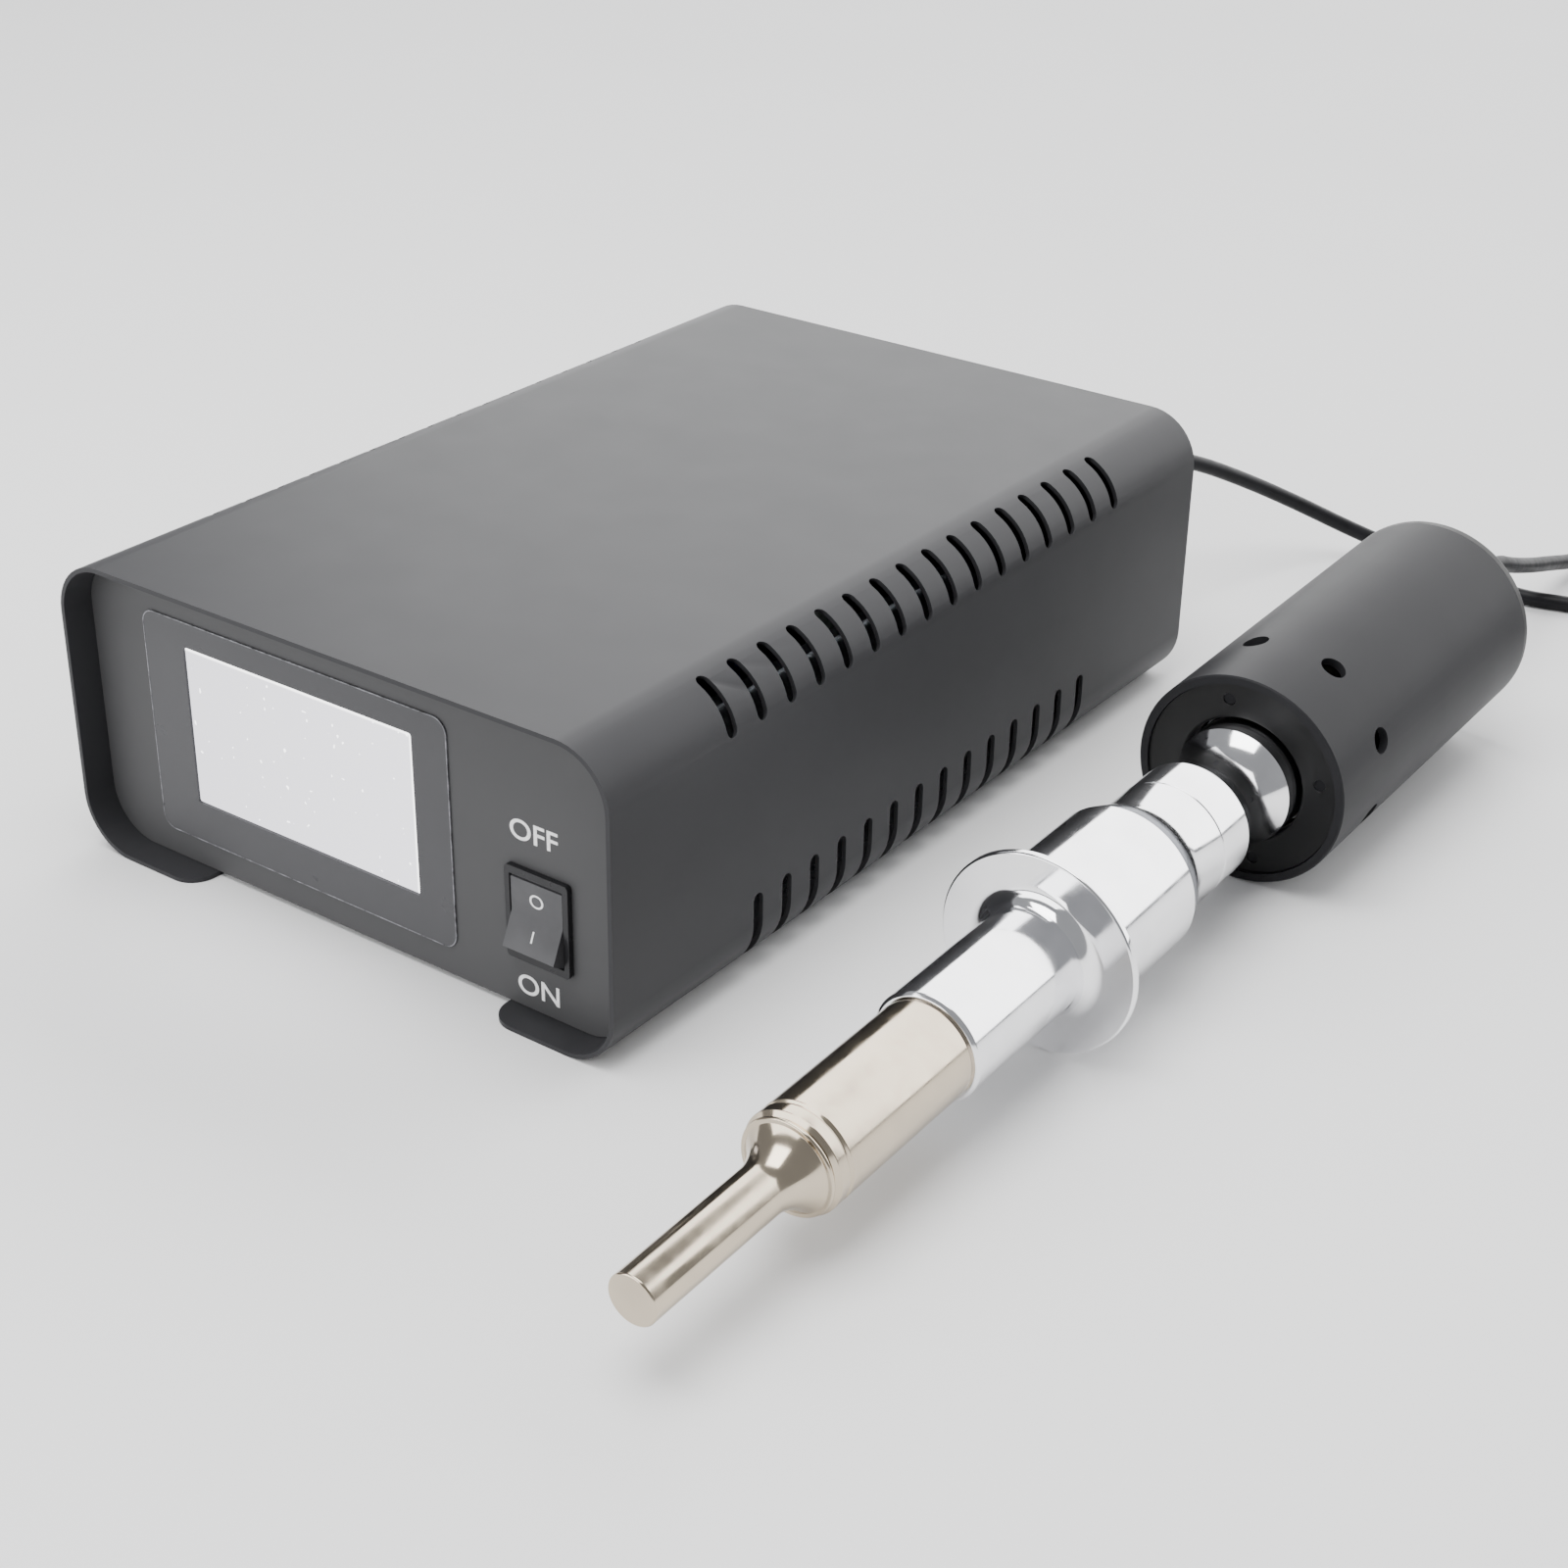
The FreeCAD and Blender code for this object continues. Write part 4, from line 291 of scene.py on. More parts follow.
# One finish for each slot of the CAD record
surfaces = {
    # Powder coat baked on to the bent cover: dark grey, and dull enough to lose all sharp reflections
    "cover_paint": surface("cover_powder_coat", "#323234", 0.42, **POWDER),
    # The same coat on the two panels, a shade lighter
    "panel_paint": surface("panel_powder_coat", "#484849", 0.45, **POWDER),
    # The same coat on the round housing, darker and with less shine
    "housing_paint": surface("housing_powder_coat", "#272729", 0.42,
                             **{**POWDER, "Specular_IOR_Level": 0.08}),
    # Turned, then anodised: fine rings under a black satin
    "cap_black": surface("black_anodised_cap", "#0c0c0d", 0.42, cloud=20, spread=0.12, grain=0.5, ring=20,
                         Specular_IOR_Level=0.3),
    # Bright zinc on pressed steel and bent wire: pale, with a soft shine
    "zinc_steel": surface("zinc_plated_steel", "#b9bcc0", 0.32, **PLATED),
    # Oiled black oxide on screws: dark metal with an uneven shine
    "screw_steel": surface("blackened_steel", "#2c2c2e", 0.38, **PLATED),
    # Moulded nylon filled with glass fibre: black, with a dry even grain
    "black_plastic": surface("black_glass_filled_nylon", "#1b1b1d", 0.42, **MOULDED),
    # Moulded polycarbonate with an etched grain: the paddle of the switch reads as dark grey
    "switch_black": surface("grained_polycarbonate", "#474749", 0.4, **MOULDED),
    # Clear polyester film that lies on the paint: drawn opaque in the paint's tone, with a smoother face
    "clear_film": surface("clear_film_on_paint", "#464648", 0.3, cloud=45, spread=0.02, smudge=0.1, height=0,
                          Specular_IOR_Level=0.2),
    # Liquid crystal behind glass, lit from its back: pale and even
    "screen": lit_display("backlit_display", "#dcdbe2", "#e8e7ee"),
    # Lacquer screened on to the boards: dark green and glossy
    "circuit_board": surface("solder_mask", "#11492a", 0.3, **MOULDED),
    # Turned from bare nylon rod: milky
    "spacer_nylon": surface("natural_nylon", "#d8d4c8", 0.4, **MOULDED),
    # Brass dipped in tin: pale and soft
    "contact_brass": surface("tinned_brass", "#c9c3b0", 0.28, **PLATED),
    # Drawn glass tube: clear and smooth
    "fuse_glass": surface("fuse_glass", "#dfe6e8", 0.05, Transmission_Weight=0.9, height=0),
    # Extruded section, left bare: drawn lines lie along the fins and are too fine to show
    "sink_aluminium": surface("extruded_aluminium", "#c3c6ca", 0.38, **PLATED),
    # Black epoxy moulded round the parts on the board: nearly matt
    "component_black": surface("component_epoxy", "#151517", 0.4, **MOULDED),
    # Pressed and fired ferrite: dark grey and dry
    "ferrite": surface("sintered_ferrite", "#2b2b2e", 0.55, **MOULDED),
    # Copper wire in baked enamel: warm and glossy
    "winding_copper": surface("enamelled_copper", "#a4582c", 0.3, **PLATED),
    # Sleeve shrunk on to the cans: dark blue with a gloss
    "capacitor_sleeve": surface("capacitor_sleeve", "#1d2550", 0.3, **MOULDED),
    # Aluminium bar turned and polished almost to a mirror
    "polished_aluminium": surface("polished_aluminium", "#f4f4f6", 0.1, **TURNED),
    # Aluminium bar as it leaves the lathe: greyer, with a broad shine
    "dark_aluminium": surface("turned_aluminium", "#b4b6ba", 0.25, **TURNED),
    # Titanium bar turned and polished: warmer and less sharp than the aluminium
    "titanium": surface("polished_titanium", "#c3b6a2", 0.14, **TURNED),
    # Fired ceramic with a thin silvered face: pale, matt and slightly grainy
    "piezo_ceramic": surface("fired_ceramic", "#cfc6ae", 0.5, **MOULDED),
    # Rolled bronze sheet, stamped: brown gold
    "electrode_bronze": surface("bronze_sheet", "#b98d55", 0.3, **PLATED),
    # Moulded nitrile: black and dull
    "rubber_black": surface("nitrile_rubber", "#121213", 0.55, **RUBBERY),
    # Extruded PVC: soft black with a low sheen
    "cable_jacket": surface("pvc_jacket", "#1c1c1e", 0.42, **RUBBERY),
}

# Ink printed through a screen: flat white, a little uneven where the mesh let less through
white_ink = surface("white_screen_ink", "#f4f4f4", 0.5, cloud=1.5, spread=0.05, grain=0.3, height=0.01,
                    Specular_IOR_Level=0.2)
# The cut edge of the film, painted lighter than the film in an uneven line: a painted highlight where the
# edge catches light
film_edge_painted_highlight = surface("cut_film_edge_painted_highlight", "#5e5e62", 0.3, cloud=2.5, spread=0.5, grain=1.2, height=0.05,
                           Specular_IOR_Level=0.5)
# Switch frame: the same plastic as the paddle, a little glossier, and painted darker: painted shade for the
# shade on the frame in the panel's recess
frame_painted_shade = surface("polycarbonate_painted_shade", "#1f1f21", 0.3, **{**MOULDED, "height": 0.005})
# The end of the booster's taper is painted darker and a little rougher than the polished aluminium: a ring
# of painted shade
taper_painted_shade = surface("taper_painted_shade", "#6c6e73", 0.3, **TURNED)

for node_name, slot in slot_of.items():
    nodes[node_name].data.materials.clear()
    nodes[node_name].data.materials.append(surfaces[slot])


# The cable: its route repeats the points of the CAD tubes, with the coil's turns between them
CABLE = 6
# The height of its middle where it lies on the table
LYING = CABLE / 2 + 0.1
generator_run = [(GLAND_X, REAR_FACE + GLAND_LENGTH, GLAND_Z), (51, 369.3, 64), (60, 388, 58), (69, 412, 50),
                 (80, 435, 38), (94, 456, 25), (113, 471, 13), (137, 478, 5.5), (163, 476, LYING),
                 (187, 471, LYING), (207, 477, LYING), (228, 482, LYING)]
probe_end = (PROBE + AXIS * (HOUSING_END + GLAND_LENGTH) * MM - HOME) / MM
probe_run = [tuple(probe_end), tuple(probe_end + AXIS * 24), (196.5, 428, 34), (195, 456, 24),
             (193.5, 484, 15), (193, 507, 7.5), (197, 530, 4), (209, 549, 4.5), (228, 561, 7.5)]
COIL_X, COIL_Y = 256, 522
COIL_RADII = (44, 38, 32, 26, 26, 32, 38, 44)
COIL_FIRST, COIL_LAST = 262, 98 + 360 * 7
COIL_STEPS = 102
# The cable crosses to its next radius in the last part of each turn, and climbs to the upper layer there
CROSSING = 0.2
LAYER_TURN = 4
LAYER_RISE = 5.9


def coil_points():
    """Four turns from outside in on the table, then turns from inside out on top of them."""
    points = []
    for step in range(COIL_STEPS + 1):
        angle = COIL_FIRST + (COIL_LAST - COIL_FIRST) * step / COIL_STEPS
        turn = (angle - COIL_FIRST) / 360
        index = min(int(turn), len(COIL_RADII) - 2)
        into = min(max((turn - index - 1 + CROSSING) / CROSSING, 0), 1)
        radius = COIL_RADII[index] + (COIL_RADII[index + 1] - COIL_RADII[index]) * into
        level = min(max((turn - LAYER_TURN + CROSSING) / CROSSING, 0), 1)
        place = math.radians(angle)
        points.append((COIL_X + radius * math.cos(place), COIL_Y + radius * math.sin(place),
                       LYING + LAYER_RISE * level))
    return points


def make_cable():
    """The output cable, from the generator's gland round the coil to the probe's gland."""
    points = generator_run + coil_points() + probe_run[::-1]
    data = bpy.data.curves.new("output_cable", "CURVE")
    data.dimensions = "3D"
    data.bevel_depth = CABLE / 2 * MM
    data.bevel_resolution = 6
    data.resolution_u = 10
    spline = data.splines.new("NURBS")
    spline.points.add(len(points) - 1)
    for target, point in zip(spline.points, points):
        target.co = (*at(*point), 1)
    spline.order_u = 3
    spline.use_endpoint_u = True
    data.materials.append(surfaces["cable_jacket"])
    cable = bpy.data.objects.new("output_cable", data)
    bpy.context.collection.objects.link(cable)
    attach(cable, "processor")
    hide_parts("cable_generator_run", "cable_probe_run", "cable_coil")


make_cable()


# Modelling steps
# Corners closer than this are one corner, in a CAD node's mesh and in a spun shape
SAME_CORNER, SPUN_CORNER = 0.002, 0.004
# Faces that meet at less than the first angle are one flat face, and at more than the second a hard edge
SAME_PLANE, HARD_EDGE = 0.6, 30


def hold(piece):
    """Select one piece alone and make it the active one."""
    bpy.ops.object.select_all(action="DESELECT")
    piece.select_set(True)
    bpy.context.view_layer.objects.active = piece


def begin(name, primitive, **settings):
    """Start a piece from a primitive."""
    bpy.ops.object.select_all(action="DESELECT")
    primitive(**settings)
    piece = bpy.context.object
    piece.name = piece.data.name = name
    return piece


def settle(piece, place=None):
    """Move the piece to its place, and bring place, turn and size into its mesh."""
    if place is not None:
        piece.matrix_world = place @ piece.matrix_world
    hold(piece)
    bpy.ops.object.transform_apply(location=True, rotation=True, scale=True)
    return piece


def modify(piece, kind, **settings):
    """Add a modifier and apply it."""
    modifier = piece.modifiers.new(kind.lower(), kind)
    for field, value in settings.items():
        setattr(modifier, field, value)
    hold(piece)
    bpy.ops.object.modifier_apply(modifier=modifier.name)
    return piece


def ease(piece, width):
    """Round the piece's hard edges by this width in millimetres."""
    return modify(piece, "BEVEL", width=width * MM, segments=2, limit_method="ANGLE",
                  angle_limit=math.radians(HARD_EDGE), miter_outer="MITER_ARC")


def pick(piece, kind, test):
    """Go into edit mode with only the faces, edges or corners selected that pass the test."""
    hold(piece)
    bpy.ops.object.mode_set(mode="EDIT")
    bpy.ops.mesh.select_mode(type=kind)
    bpy.ops.mesh.select_all(action="DESELECT")
    bpy.ops.object.mode_set(mode="OBJECT")
    parts = {"FACE": piece.data.polygons, "EDGE": piece.data.edges, "VERT": piece.data.vertices}[kind]
    for part in parts:
        part.select = test(part)
    bpy.ops.object.mode_set(mode="EDIT")


def close_edit():
    """Leave edit mode, which brings the edit into the piece's mesh."""
    bpy.ops.object.mode_set(mode="OBJECT")


def edge_line(piece, edge):
    """The line from an edge's first corner to its second."""
    first, second = (piece.data.vertices[index].co for index in edge.vertices)
    return second - first


def dress(piece, slot, body="processor", angle=35, replaces=(), finish=None):
    """Give a finished piece its material, smooth shading and body, and hide the CAD nodes it stands for."""
    hold(piece)
    bpy.ops.object.shade_smooth_by_angle(angle=math.radians(angle))
    modify(piece, "WEIGHTED_NORMAL", keep_sharp=True, weight=80)
    piece.data.materials.clear()
    piece.data.materials.append(finish or surfaces[slot])
    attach(piece, body)
    if replaces:
        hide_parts(*replaces)
    return piece


def softened(name, width, finish=None):
    """A copy of a CAD node whose hard edges are rounded as paint, moulding or handling leaves them."""
    mesh = nodes[name].data.copy()
    piece = bpy.data.objects.new(name + "_eased", mesh)
    bpy.context.collection.objects.link(piece)
    hold(piece)
    bpy.ops.object.mode_set(mode="EDIT")
    bpy.ops.mesh.select_all(action="SELECT")
    bpy.ops.mesh.remove_doubles(threshold=SAME_CORNER * MM)
    bpy.ops.mesh.dissolve_limited(angle_limit=math.radians(SAME_PLANE))
    close_edit()
    ease(piece, width)
    return dress(piece, slot_of[name], body_of[name], replaces=(name,), finish=finish)


def rounded_plate(name, centre, width, height, thickness, corner, ease_width=0.15):
    """A plate that faces the front, with round corners: its centre is on its front face."""
    piece = begin(name, bpy.ops.mesh.primitive_cube_add, size=1, location=(0, 0, -thickness / 2 * MM),
                  scale=(width * MM, height * MM, thickness * MM))
    settle(piece)
    pick(piece, "EDGE", lambda edge: abs(edge_line(piece, edge).z) > 0.9 * thickness * MM)
    bpy.ops.mesh.bevel(offset=corner * MM, segments=8, affect="EDGES")
    close_edit()
    settle(piece, facing(at(*centre), FORWARD))
    return ease(piece, ease_width)


def carve(piece, cutter):
    """Cut the cutter's shape out of the piece."""
    modify(piece, "BOOLEAN", operation="DIFFERENCE", solver="EXACT", object=cutter)
    bpy.data.objects.remove(cutter)
    return piece


def arc(radius, station, size, first, last, steps=10):
    """Points of a round in a lathe's profile, from its middle, its size and its two angles."""
    angles = [math.radians(first + (last - first) * step / steps) for step in range(steps + 1)]
    return [(radius + size * math.cos(angle), station + size * math.sin(angle)) for angle in angles]


def lathed(name, profile, place, ease_width, steps=96):
    """A solid of revolution: a point is extruded along the profile of (radius, station), then spun."""
    points = [Vector((radius * MM, 0, station * MM)) for radius, station in profile]
    piece = begin(name, bpy.ops.mesh.primitive_plane_add, size=MM, location=(0, 0, 0))
    pick(piece, "VERT", lambda corner: True)
    bpy.ops.mesh.merge(type="CENTER")
    bpy.ops.transform.translate(value=points[0])
    for before, after in zip(points, points[1:]):
        bpy.ops.mesh.extrude_region_move(TRANSFORM_OT_translate={"value": after - before})
    bpy.ops.mesh.select_all(action="SELECT")
    bpy.ops.mesh.spin(steps=steps, angle=math.tau, center=(0, 0, 0), axis=(0, 0, 1))
    bpy.ops.mesh.select_all(action="SELECT")
    bpy.ops.mesh.remove_doubles(threshold=SPUN_CORNER * MM)
    bpy.ops.mesh.normals_make_consistent(inside=False)
    close_edit()
    return ease(settle(piece, place), ease_width)


# Generator: each CAD node that gets softer edges, with their width, and the finish where it has its own
for node_name, width, finish in (("cover", 0.3, None), ("front_panel", 0.3, None),
                                 ("switch_body", 0.35, frame_painted_shade), ("switch_paddle", 0.5, None),
                                 ("rear_panel", 0.2, None), ("mains_inlet", 0.4, None),
                                 ("fuse_drawer", 0.3, None), ("fan_frame", 0.4, None)):
    softened(node_name, width, finish)


def make_display():
    """The lit screen, and the dark module behind it."""
    display = rounded_plate("lit_display", (SCREEN_X, SCREEN_FRONT, SCREEN_Z), SCREEN_WIDTH, SCREEN_HEIGHT,
                            SCREEN_THICKNESS, SCREEN_CORNER)
    dress(display, "screen", replaces=("touch_screen",))
    width, height = module_high.x - module_low.x, module_high.z - module_low.z
    module = rounded_plate("display_module", (SCREEN_X, MODULE_FRONT, SCREEN_Z), width, height,
                           module_high.y - MODULE_FRONT, 1.5, ease_width=0.3)
    dress(module, "component_black", replaces=("touch_screen",))


def film_cutter(name, x, z, width, height, corner):
    """A cutter for an opening in the film, from in front of it to behind it."""
    return rounded_plate(name, (x, FILM_FRONT - 0.7, z), width, height, 3, corner, ease_width=0.05)


def make_film():
    """The clear film round the screen, and the narrow line of its cut edge, painted lighter as a painted
    highlight.
    """
    film = rounded_plate("clear_film_sheet", (FILM_X, FILM_FRONT, FILM_Z), FILM_WIDTH, FILM_HEIGHT,
                         FILM_THICKNESS, FILM_CORNER, ease_width=0.05)
    gap = 0.6
    carve(film, film_cutter("film_window", SCREEN_X, SCREEN_Z, SCREEN_WIDTH + gap, SCREEN_HEIGHT + gap, 0.9))
    dress(film, "clear_film", replaces=("display_overlay",))
    # The rim in the lighter finish is a painted highlight on the film's cut edge
    proud, line = 0.1, 0.3
    edge = rounded_plate("film_edge", (FILM_X, FILM_FRONT - 0.08, FILM_Z), FILM_WIDTH + proud,
                         FILM_HEIGHT + proud, 0.5, FILM_CORNER, ease_width=0.08)
    carve(edge, film_cutter("edge_window", FILM_X, FILM_Z, FILM_WIDTH - 2 * line, FILM_HEIGHT - 2 * line,
                            FILM_CORNER - line))
    dress(edge, "clear_film", finish=film_edge_painted_highlight)


make_display()
make_film()

# Screen print: the height of a capital as a share of the type's size, how much wider than the type's own
# the letters are, half the ink's thickness, and how far in front of the panel the ink's middle lies
CAPITAL = 0.72
WIDE_LETTERS = 1.13
HALF_INK = 0.04
INK_LIFT = 0.03
LABEL_HEIGHT = 6.7
BOLD = 0.014


def lettered(name, words, height, centre, ahead, body, bold=0):
    """White screen print: text as a thin raised layer of ink, centred on a point of its face."""
    bpy.ops.object.select_all(action="DESELECT")
    bpy.ops.object.text_add()
    piece = bpy.context.object
    piece.name = name
    piece.data.body = words
    piece.data.size = height / CAPITAL * MM
    piece.data.align_x = "CENTER"
    piece.data.align_y = "CENTER"
    piece.data.extrude = HALF_INK * MM
    piece.data.offset = bold * height * MM
    bpy.ops.object.convert(target="MESH")
    low, high = (Vector(outermost(corner[axis] for corner in piece.bound_box) for axis in range(3))
                 for outermost in (min, max))
    piece.data.transform(Matrix.Translation(-(low + high) / 2))
    piece.scale.x = WIDE_LETTERS
    settle(piece)
    settle(piece, facing(at(*centre), Vector(ahead)))
    return dress(piece, slot_of["switch_body"], body, angle=30, finish=white_ink)


# The words on the panel, and the marks on the two faces of the paddle, whose upper half is pressed in
lettered("label_off", "OFF", LABEL_HEIGHT, (73.8, PANEL_FRONT - INK_LIFT, 61.7), FORWARD, "processor", BOLD)
lettered("label_on", "ON", LABEL_HEIGHT, (73.7, PANEL_FRONT - INK_LIFT, 9.7), FORWARD, "processor", BOLD)
lettered("mark_off", "O", 4.5, (SWITCH_X, 8.93, 40.9), FORWARD, "power_rocker")
lettered("mark_on", "I", 3.7, (SWITCH_X, 6.64, 30.17), (0, -0.913, 0.407), "power_rocker")


# Probe
def make_horn():
    """The titanium horn: a slim tip that flares into a round body with two fine grooves."""
    tip, flare, body = 7.5, 15.064, 15.5
    horn = lathed("titanium_horn_turned", [
        (0, TIP_END), (tip - 0.4, TIP_END), (tip, TIP_END + 0.4),
        *arc(tip + flare, TIP_END + 50, flare, 180, 128.4),
        (14.2, -243.5), (14.6, -243.1), (14.6, -242.5), (13.6, -242.1), (body, -240.7),
        (body, -237.2), (14.7, -236.6), (14.7, -236.0), (body, -235.4),
        (body, HORN_JOINT - 1), (body - 1, HORN_JOINT),
        (STUD_RADIUS, HORN_JOINT), (STUD_RADIUS, HORN_JOINT - STUD_DEPTH), (0, HORN_JOINT - STUD_DEPTH)],
        ON_PROBE, ease_width=0.15)
    dress(horn, "titanium", replaces=("titanium_horn",))


def make_booster():
    """The booster: a straight front, the thin flange between two rounds, a thicker middle and a taper."""
    front, front_round, middle, middle_round, rear = 17.1, 5.3, 24.6, 3, 20
    front_hole, rear_hole = HORN_JOINT + STUD_DEPTH, DRIVER_JOINT - STUD_DEPTH
    flange, flange_front, flange_rear = 32.1, -122.9, -120.7
    taper_start, taper_bend, taper_end = -74.5, -69, -62
    booster = lathed("booster_turned", [
        (0, front_hole), (STUD_RADIUS, front_hole), (STUD_RADIUS, HORN_JOINT),
        (front - 1, HORN_JOINT), (front, HORN_JOINT + 1),
        *arc(front + front_round, flange_front - front_round, front_round, 180, 90),
        (flange - 0.5, flange_front), (flange, flange_front + 0.5), (flange, flange_rear),
        *arc(middle + middle_round, flange_rear + middle_round, middle_round, -90, -180),
        (middle, taper_start), (22.6, taper_bend), (rear, taper_end),
        (rear, DRIVER_JOINT - 0.25), (rear - 0.25, DRIVER_JOINT),
        (STUD_RADIUS, DRIVER_JOINT), (STUD_RADIUS, rear_hole), (0, rear_hole)], ON_PROBE, ease_width=0.2)
    dress(booster, "polished_aluminium", replaces=("booster",))
    # The taper's faces take the darker finish, the painted shade
    booster.data.materials.append(taper_painted_shade)
    for face in booster.data.polygons:
        if taper_start - 0.1 < (face.center - PROBE).dot(AXIS) / MM < taper_bend:
            face.material_index = 1


def make_driver():
    """The front driver: a waist between two round ends, and the ring by which the housing holds it."""
    radius, seat = 20, 24.5
    front_hole, rear_hole = DRIVER_JOINT + STUD_DEPTH, DRIVER_REAR - STUD_DEPTH
    driver = lathed("front_driver_turned", [
        (0, front_hole), (STUD_RADIUS, front_hole), (STUD_RADIUS, DRIVER_JOINT),
        (radius - 0.25, DRIVER_JOINT), (radius, DRIVER_JOINT + 0.25), (radius, -31.8),
        *arc(40.94, -18.66, 25, 209.58, 146.9, 16),
        (radius, 11.4), (seat, 11.4), (seat, 14.4), (radius, 14.4), (radius, DRIVER_REAR),
        (STUD_RADIUS, DRIVER_REAR), (STUD_RADIUS, rear_hole), (0, rear_hole)], ON_PROBE, ease_width=0.12)
    dress(driver, "polished_aluminium", replaces=("front_driver",))


make_horn()
make_booster()
make_driver()
for node_name, width in (("probe_housing", 0.3), ("probe_front_cap", 0.3), ("probe_rear_cap", 0.2)):
    softened(node_name, width)


# Glands and screws
def make_gland(name, place, node_name):
    """A cable gland: a six-sided nut, and a domed sleeve whose ribs keep the cable from a sharp bend."""
    nut_radius, nut_height = 9, 7
    nut = settle(begin(name + "_nut", bpy.ops.mesh.primitive_cylinder_add, vertices=6,
                       radius=nut_radius * MM, depth=nut_height * MM,
                       location=(0, 0, nut_height / 2 * MM)), place)
    dress(ease(nut, 0.7), "black_plastic", replaces=(node_name,))
    thread, collar, neck, rib, first_rib, rib_pitch = 6, 7.9, 4.4, 5.4, 17, 3.4
    profile = [(0, -8), (thread, -8), (thread, 0), (collar, 0.2), (collar, nut_height),
               *arc(3.9, 9, 4, -10, 80, 6), (neck, 14.6)]
    for index in range(4):
        foot = first_rib + rib_pitch * index
        profile += [(neck, foot), (rib, foot + 0.4), (rib, foot + 1.8), (neck, foot + 2.2)]
    profile += [(neck, GLAND_LENGTH - 0.6), (neck - 0.6, GLAND_LENGTH), (0, GLAND_LENGTH)]
    dress(lathed(name + "_sleeve", profile, place, 0.2, steps=48), "rubber_black", replaces=(node_name,))


make_gland("generator_gland", facing(at(GLAND_X, REAR_FACE, GLAND_Z), REARWARD), "generator_gland")
make_gland("probe_gland", facing(PROBE + AXIS * HOUSING_END * MM, AXIS), "probe_gland")

# A screw's head: its radius and height as multiples of its shank's radius
HEAD_RADIUS, HEAD_RISE = 1.9, 1.2
SCREW_LENGTH = 8
WALL_SCREW, CAP_SCREW = 2, 1.2


def cross_screw(name, shank):
    """A pan-head screw that looks along z from its seat, with a cross recess in its crowned head."""
    head, rise = HEAD_RADIUS * shank * MM, HEAD_RISE * shank * MM
    screw = settle(begin(name, bpy.ops.mesh.primitive_cylinder_add, vertices=32, radius=head, depth=rise,
                         location=(0, 0, rise / 2)))
    pick(screw, "FACE", lambda face: face.normal.z < -0.9)
    bpy.ops.mesh.inset(thickness=head - shank * MM)
    bpy.ops.mesh.extrude_region_move(TRANSFORM_OT_translate={"value": (0, 0, -SCREW_LENGTH * MM)})
    close_edit()
    pick(screw, "EDGE", lambda edge: all(screw.data.vertices[corner].co.z > rise * 0.9
                                         for corner in edge.vertices))
    bpy.ops.mesh.bevel(offset=rise * 0.6, segments=4, affect="EDGES")
    close_edit()
    slot_width, slot_reach = head * 0.3, head * 0.42
    cross = settle(begin("cross_cutter", bpy.ops.mesh.primitive_cube_add, size=1, location=(0, 0, rise),
                         scale=(slot_width, slot_width, rise)))
    pick(cross, "FACE", lambda face: abs(face.normal.z) < 0.5)
    bpy.ops.mesh.extrude_faces_move(TRANSFORM_OT_shrink_fatten={"value": slot_reach})
    close_edit()
    return carve(screw, cross)


def seats(name):
    """The lowest and highest corner of each separate solid in a CAD node, in order across and up."""
    finder = bpy.data.objects.new("seat_finder", nodes[name].data.copy())
    bpy.context.collection.objects.link(finder)
    pick(finder, "VERT", lambda corner: True)
    bpy.ops.mesh.remove_doubles(threshold=SAME_CORNER * MM)
    bpy.ops.mesh.separate(type="LOOSE")
    close_edit()
    boxes = []
    for part in list(bpy.context.selected_objects):
        spread = [[corner.co[axis] for corner in part.data.vertices] for axis in range(3)]
        boxes.append([Vector([outermost(values) for values in spread]) for outermost in (min, max)])
        bpy.data.objects.remove(part)
    return sorted(boxes, key=lambda box: (round(box[0].x, 4), round(box[0].z, 4)))


def drive(screw, places, node_name):
    """Set a copy of the screw at each place, in place of the CAD screws, and take the pattern away."""
    for index, place in enumerate(places):
        copy = bpy.data.objects.new("%s_%d" % (screw.name, index + 1), screw.data.copy())
        bpy.context.collection.objects.link(copy)
        settle(copy, place)
        dress(copy, "screw_steel", replaces=(node_name,))
    bpy.data.objects.remove(screw)


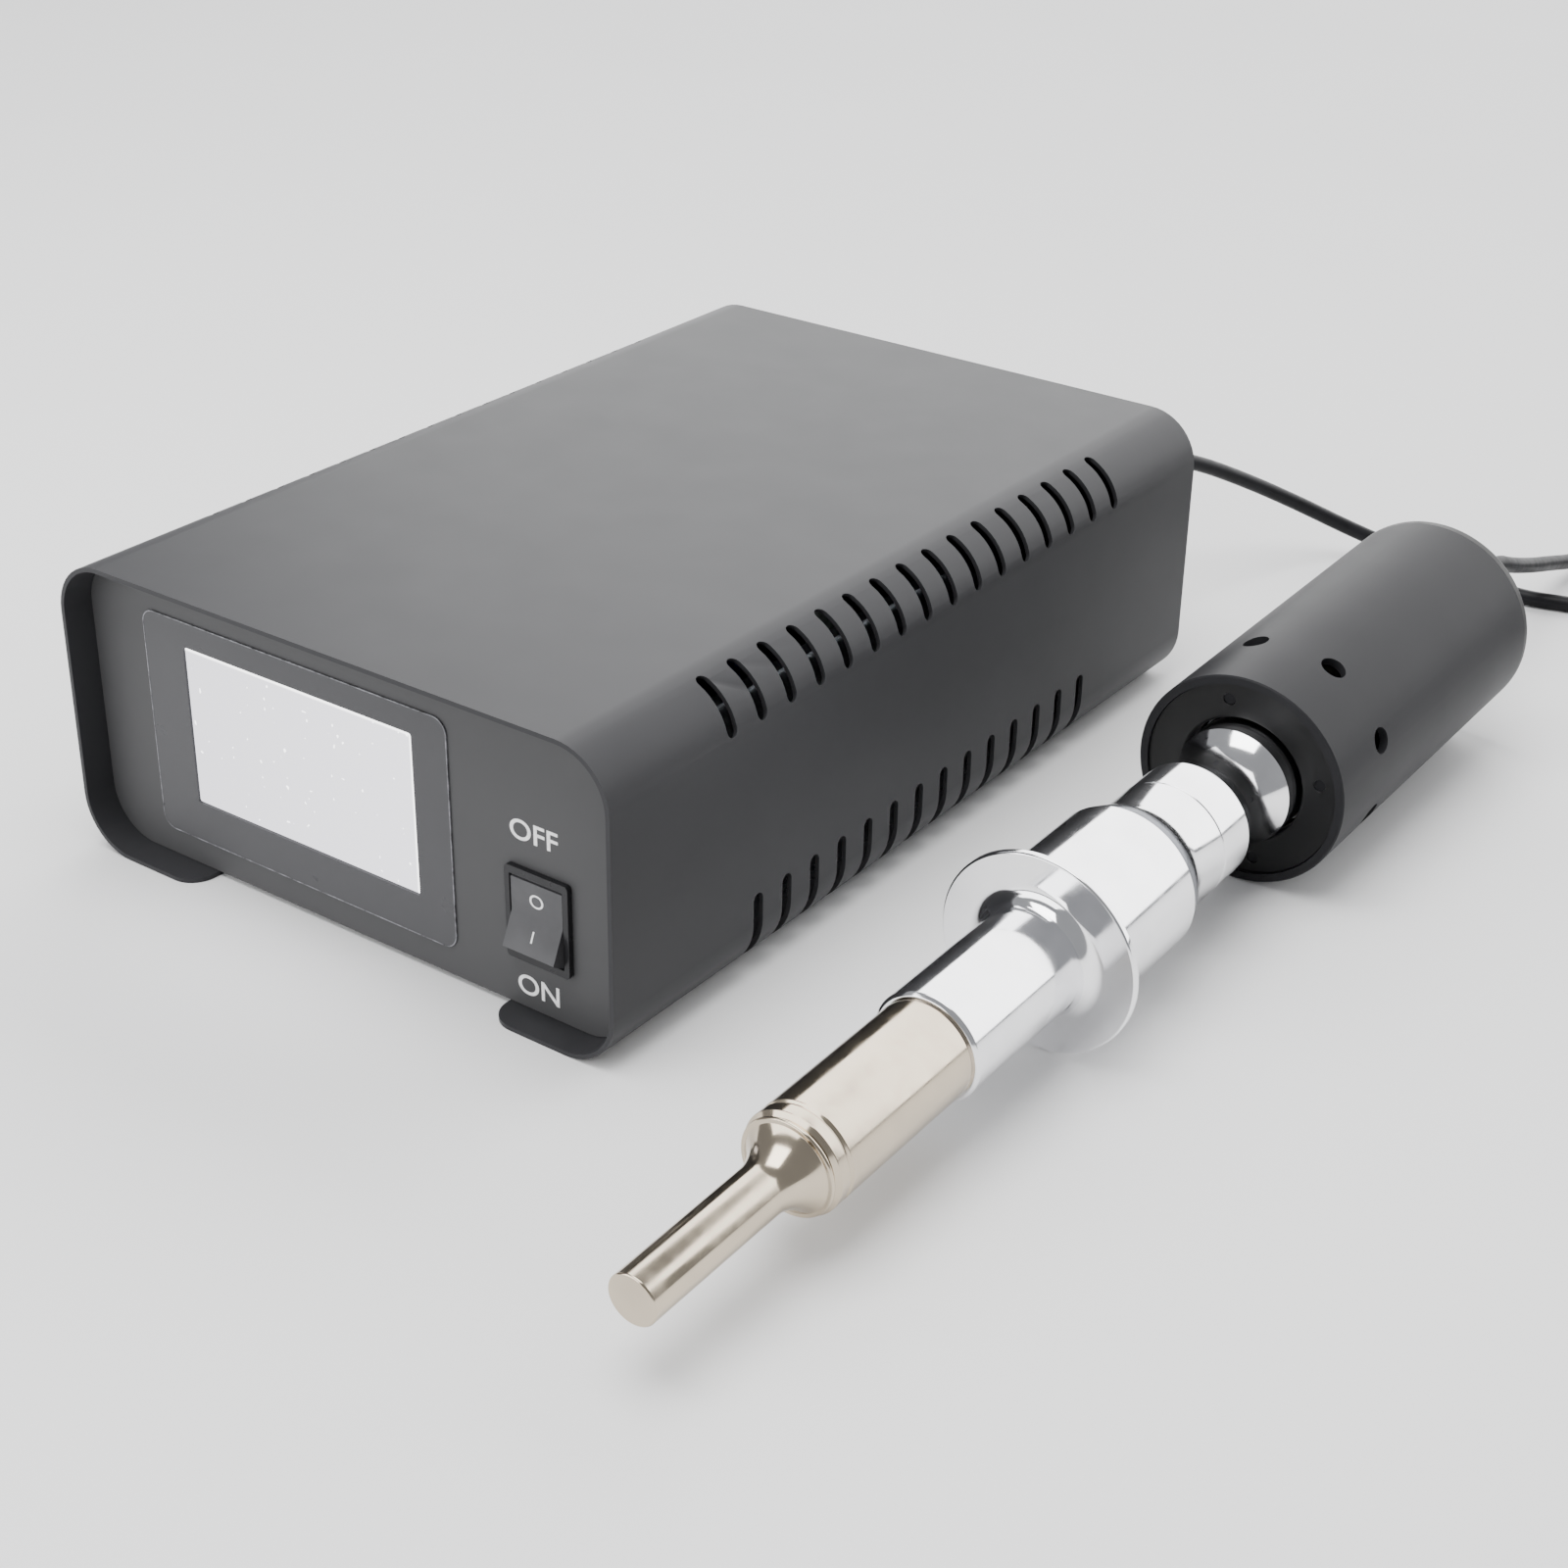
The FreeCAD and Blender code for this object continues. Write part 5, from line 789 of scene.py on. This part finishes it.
for pattern, node_name in (("fan_cross_screw", "fan_screws"), ("inlet_cross_screw", "inlet_screws")):
    rise = HEAD_RISE * WALL_SCREW * MM
    places = [facing(Vector(((low.x + high.x) / 2, high.y - rise, (low.z + high.z) / 2)), REARWARD)
              for low, high in seats(node_name)]
    drive(cross_screw(pattern, WALL_SCREW), places, node_name)
CAP_SCREW_CIRCLE, CAP_SCREW_ANGLE = 27.5, 13.5
places = [facing(on_probe(CAP_SCREW_CIRCLE, CAP_SCREW_ANGLE + 90 * index, HOUSING_END), AXIS)
          for index in range(4)]
drive(cross_screw("rear_cap_cross_screw", CAP_SCREW), places, "rear_cap_screws")


# Stage, in metres: a plain pale floor, big soft boxes behind and above, and a weak one in front
def make_floor():
    """A pale sheet just under the feet."""
    floor = begin("studio_floor", bpy.ops.mesh.primitive_grid_add, size=12, x_subdivisions=12,
                  y_subdivisions=12, location=(0, 0, -0.05 * MM))
    settle(floor)
    # Uncoated paper off a wide roll: matt and even
    floor.data.materials.append(surface("matt_paper_sweep", "#e6e6e6", 0.9, cloud=400, spread=0.005, grain=3,
                                        height=0.01, Specular_IOR_Level=0.1))


def soft_box(name, centre, target, width, height, radiance):
    """A large even light. Its power follows from the radiance that a surface should mirror."""
    data = bpy.data.lights.new(name, "AREA")
    data.shape = "RECTANGLE"
    data.size = width
    data.size_y = height
    data.energy = radiance * math.pi * width * height
    box = bpy.data.objects.new(name, data)
    bpy.context.collection.objects.link(box)
    ahead = (Vector(target) - Vector(centre)).normalized()
    box.matrix_world = Matrix.Translation(centre) @ ahead.to_track_quat("-Z", "Y").to_matrix().to_4x4()
    box.visible_camera = False


def make_room():
    """The weak even light from everywhere else in the studio."""
    world = bpy.data.worlds.new("studio_room")
    world.use_nodes = True
    background = world.node_tree.nodes["Background"]
    background.inputs["Color"].default_value = linear("#f2f4f8")
    background.inputs["Strength"].default_value = 0.4
    bpy.context.scene.world = world


make_floor()
soft_box("back_box", centre=(0.1, 3.0, 2.2), target=(0.1, 0, 2.2), width=7.6, height=4.0, radiance=4.3)
soft_box("overhead_box", centre=(-0.1, -0.3, 1.9), target=(0, 0, 0), width=1.5, height=1.5, radiance=8)
soft_box("front_fill", centre=(-0.7, -1.5, 0.7), target=(0, 0, 0.05), width=1.6, height=1.0, radiance=4.5)
make_room()
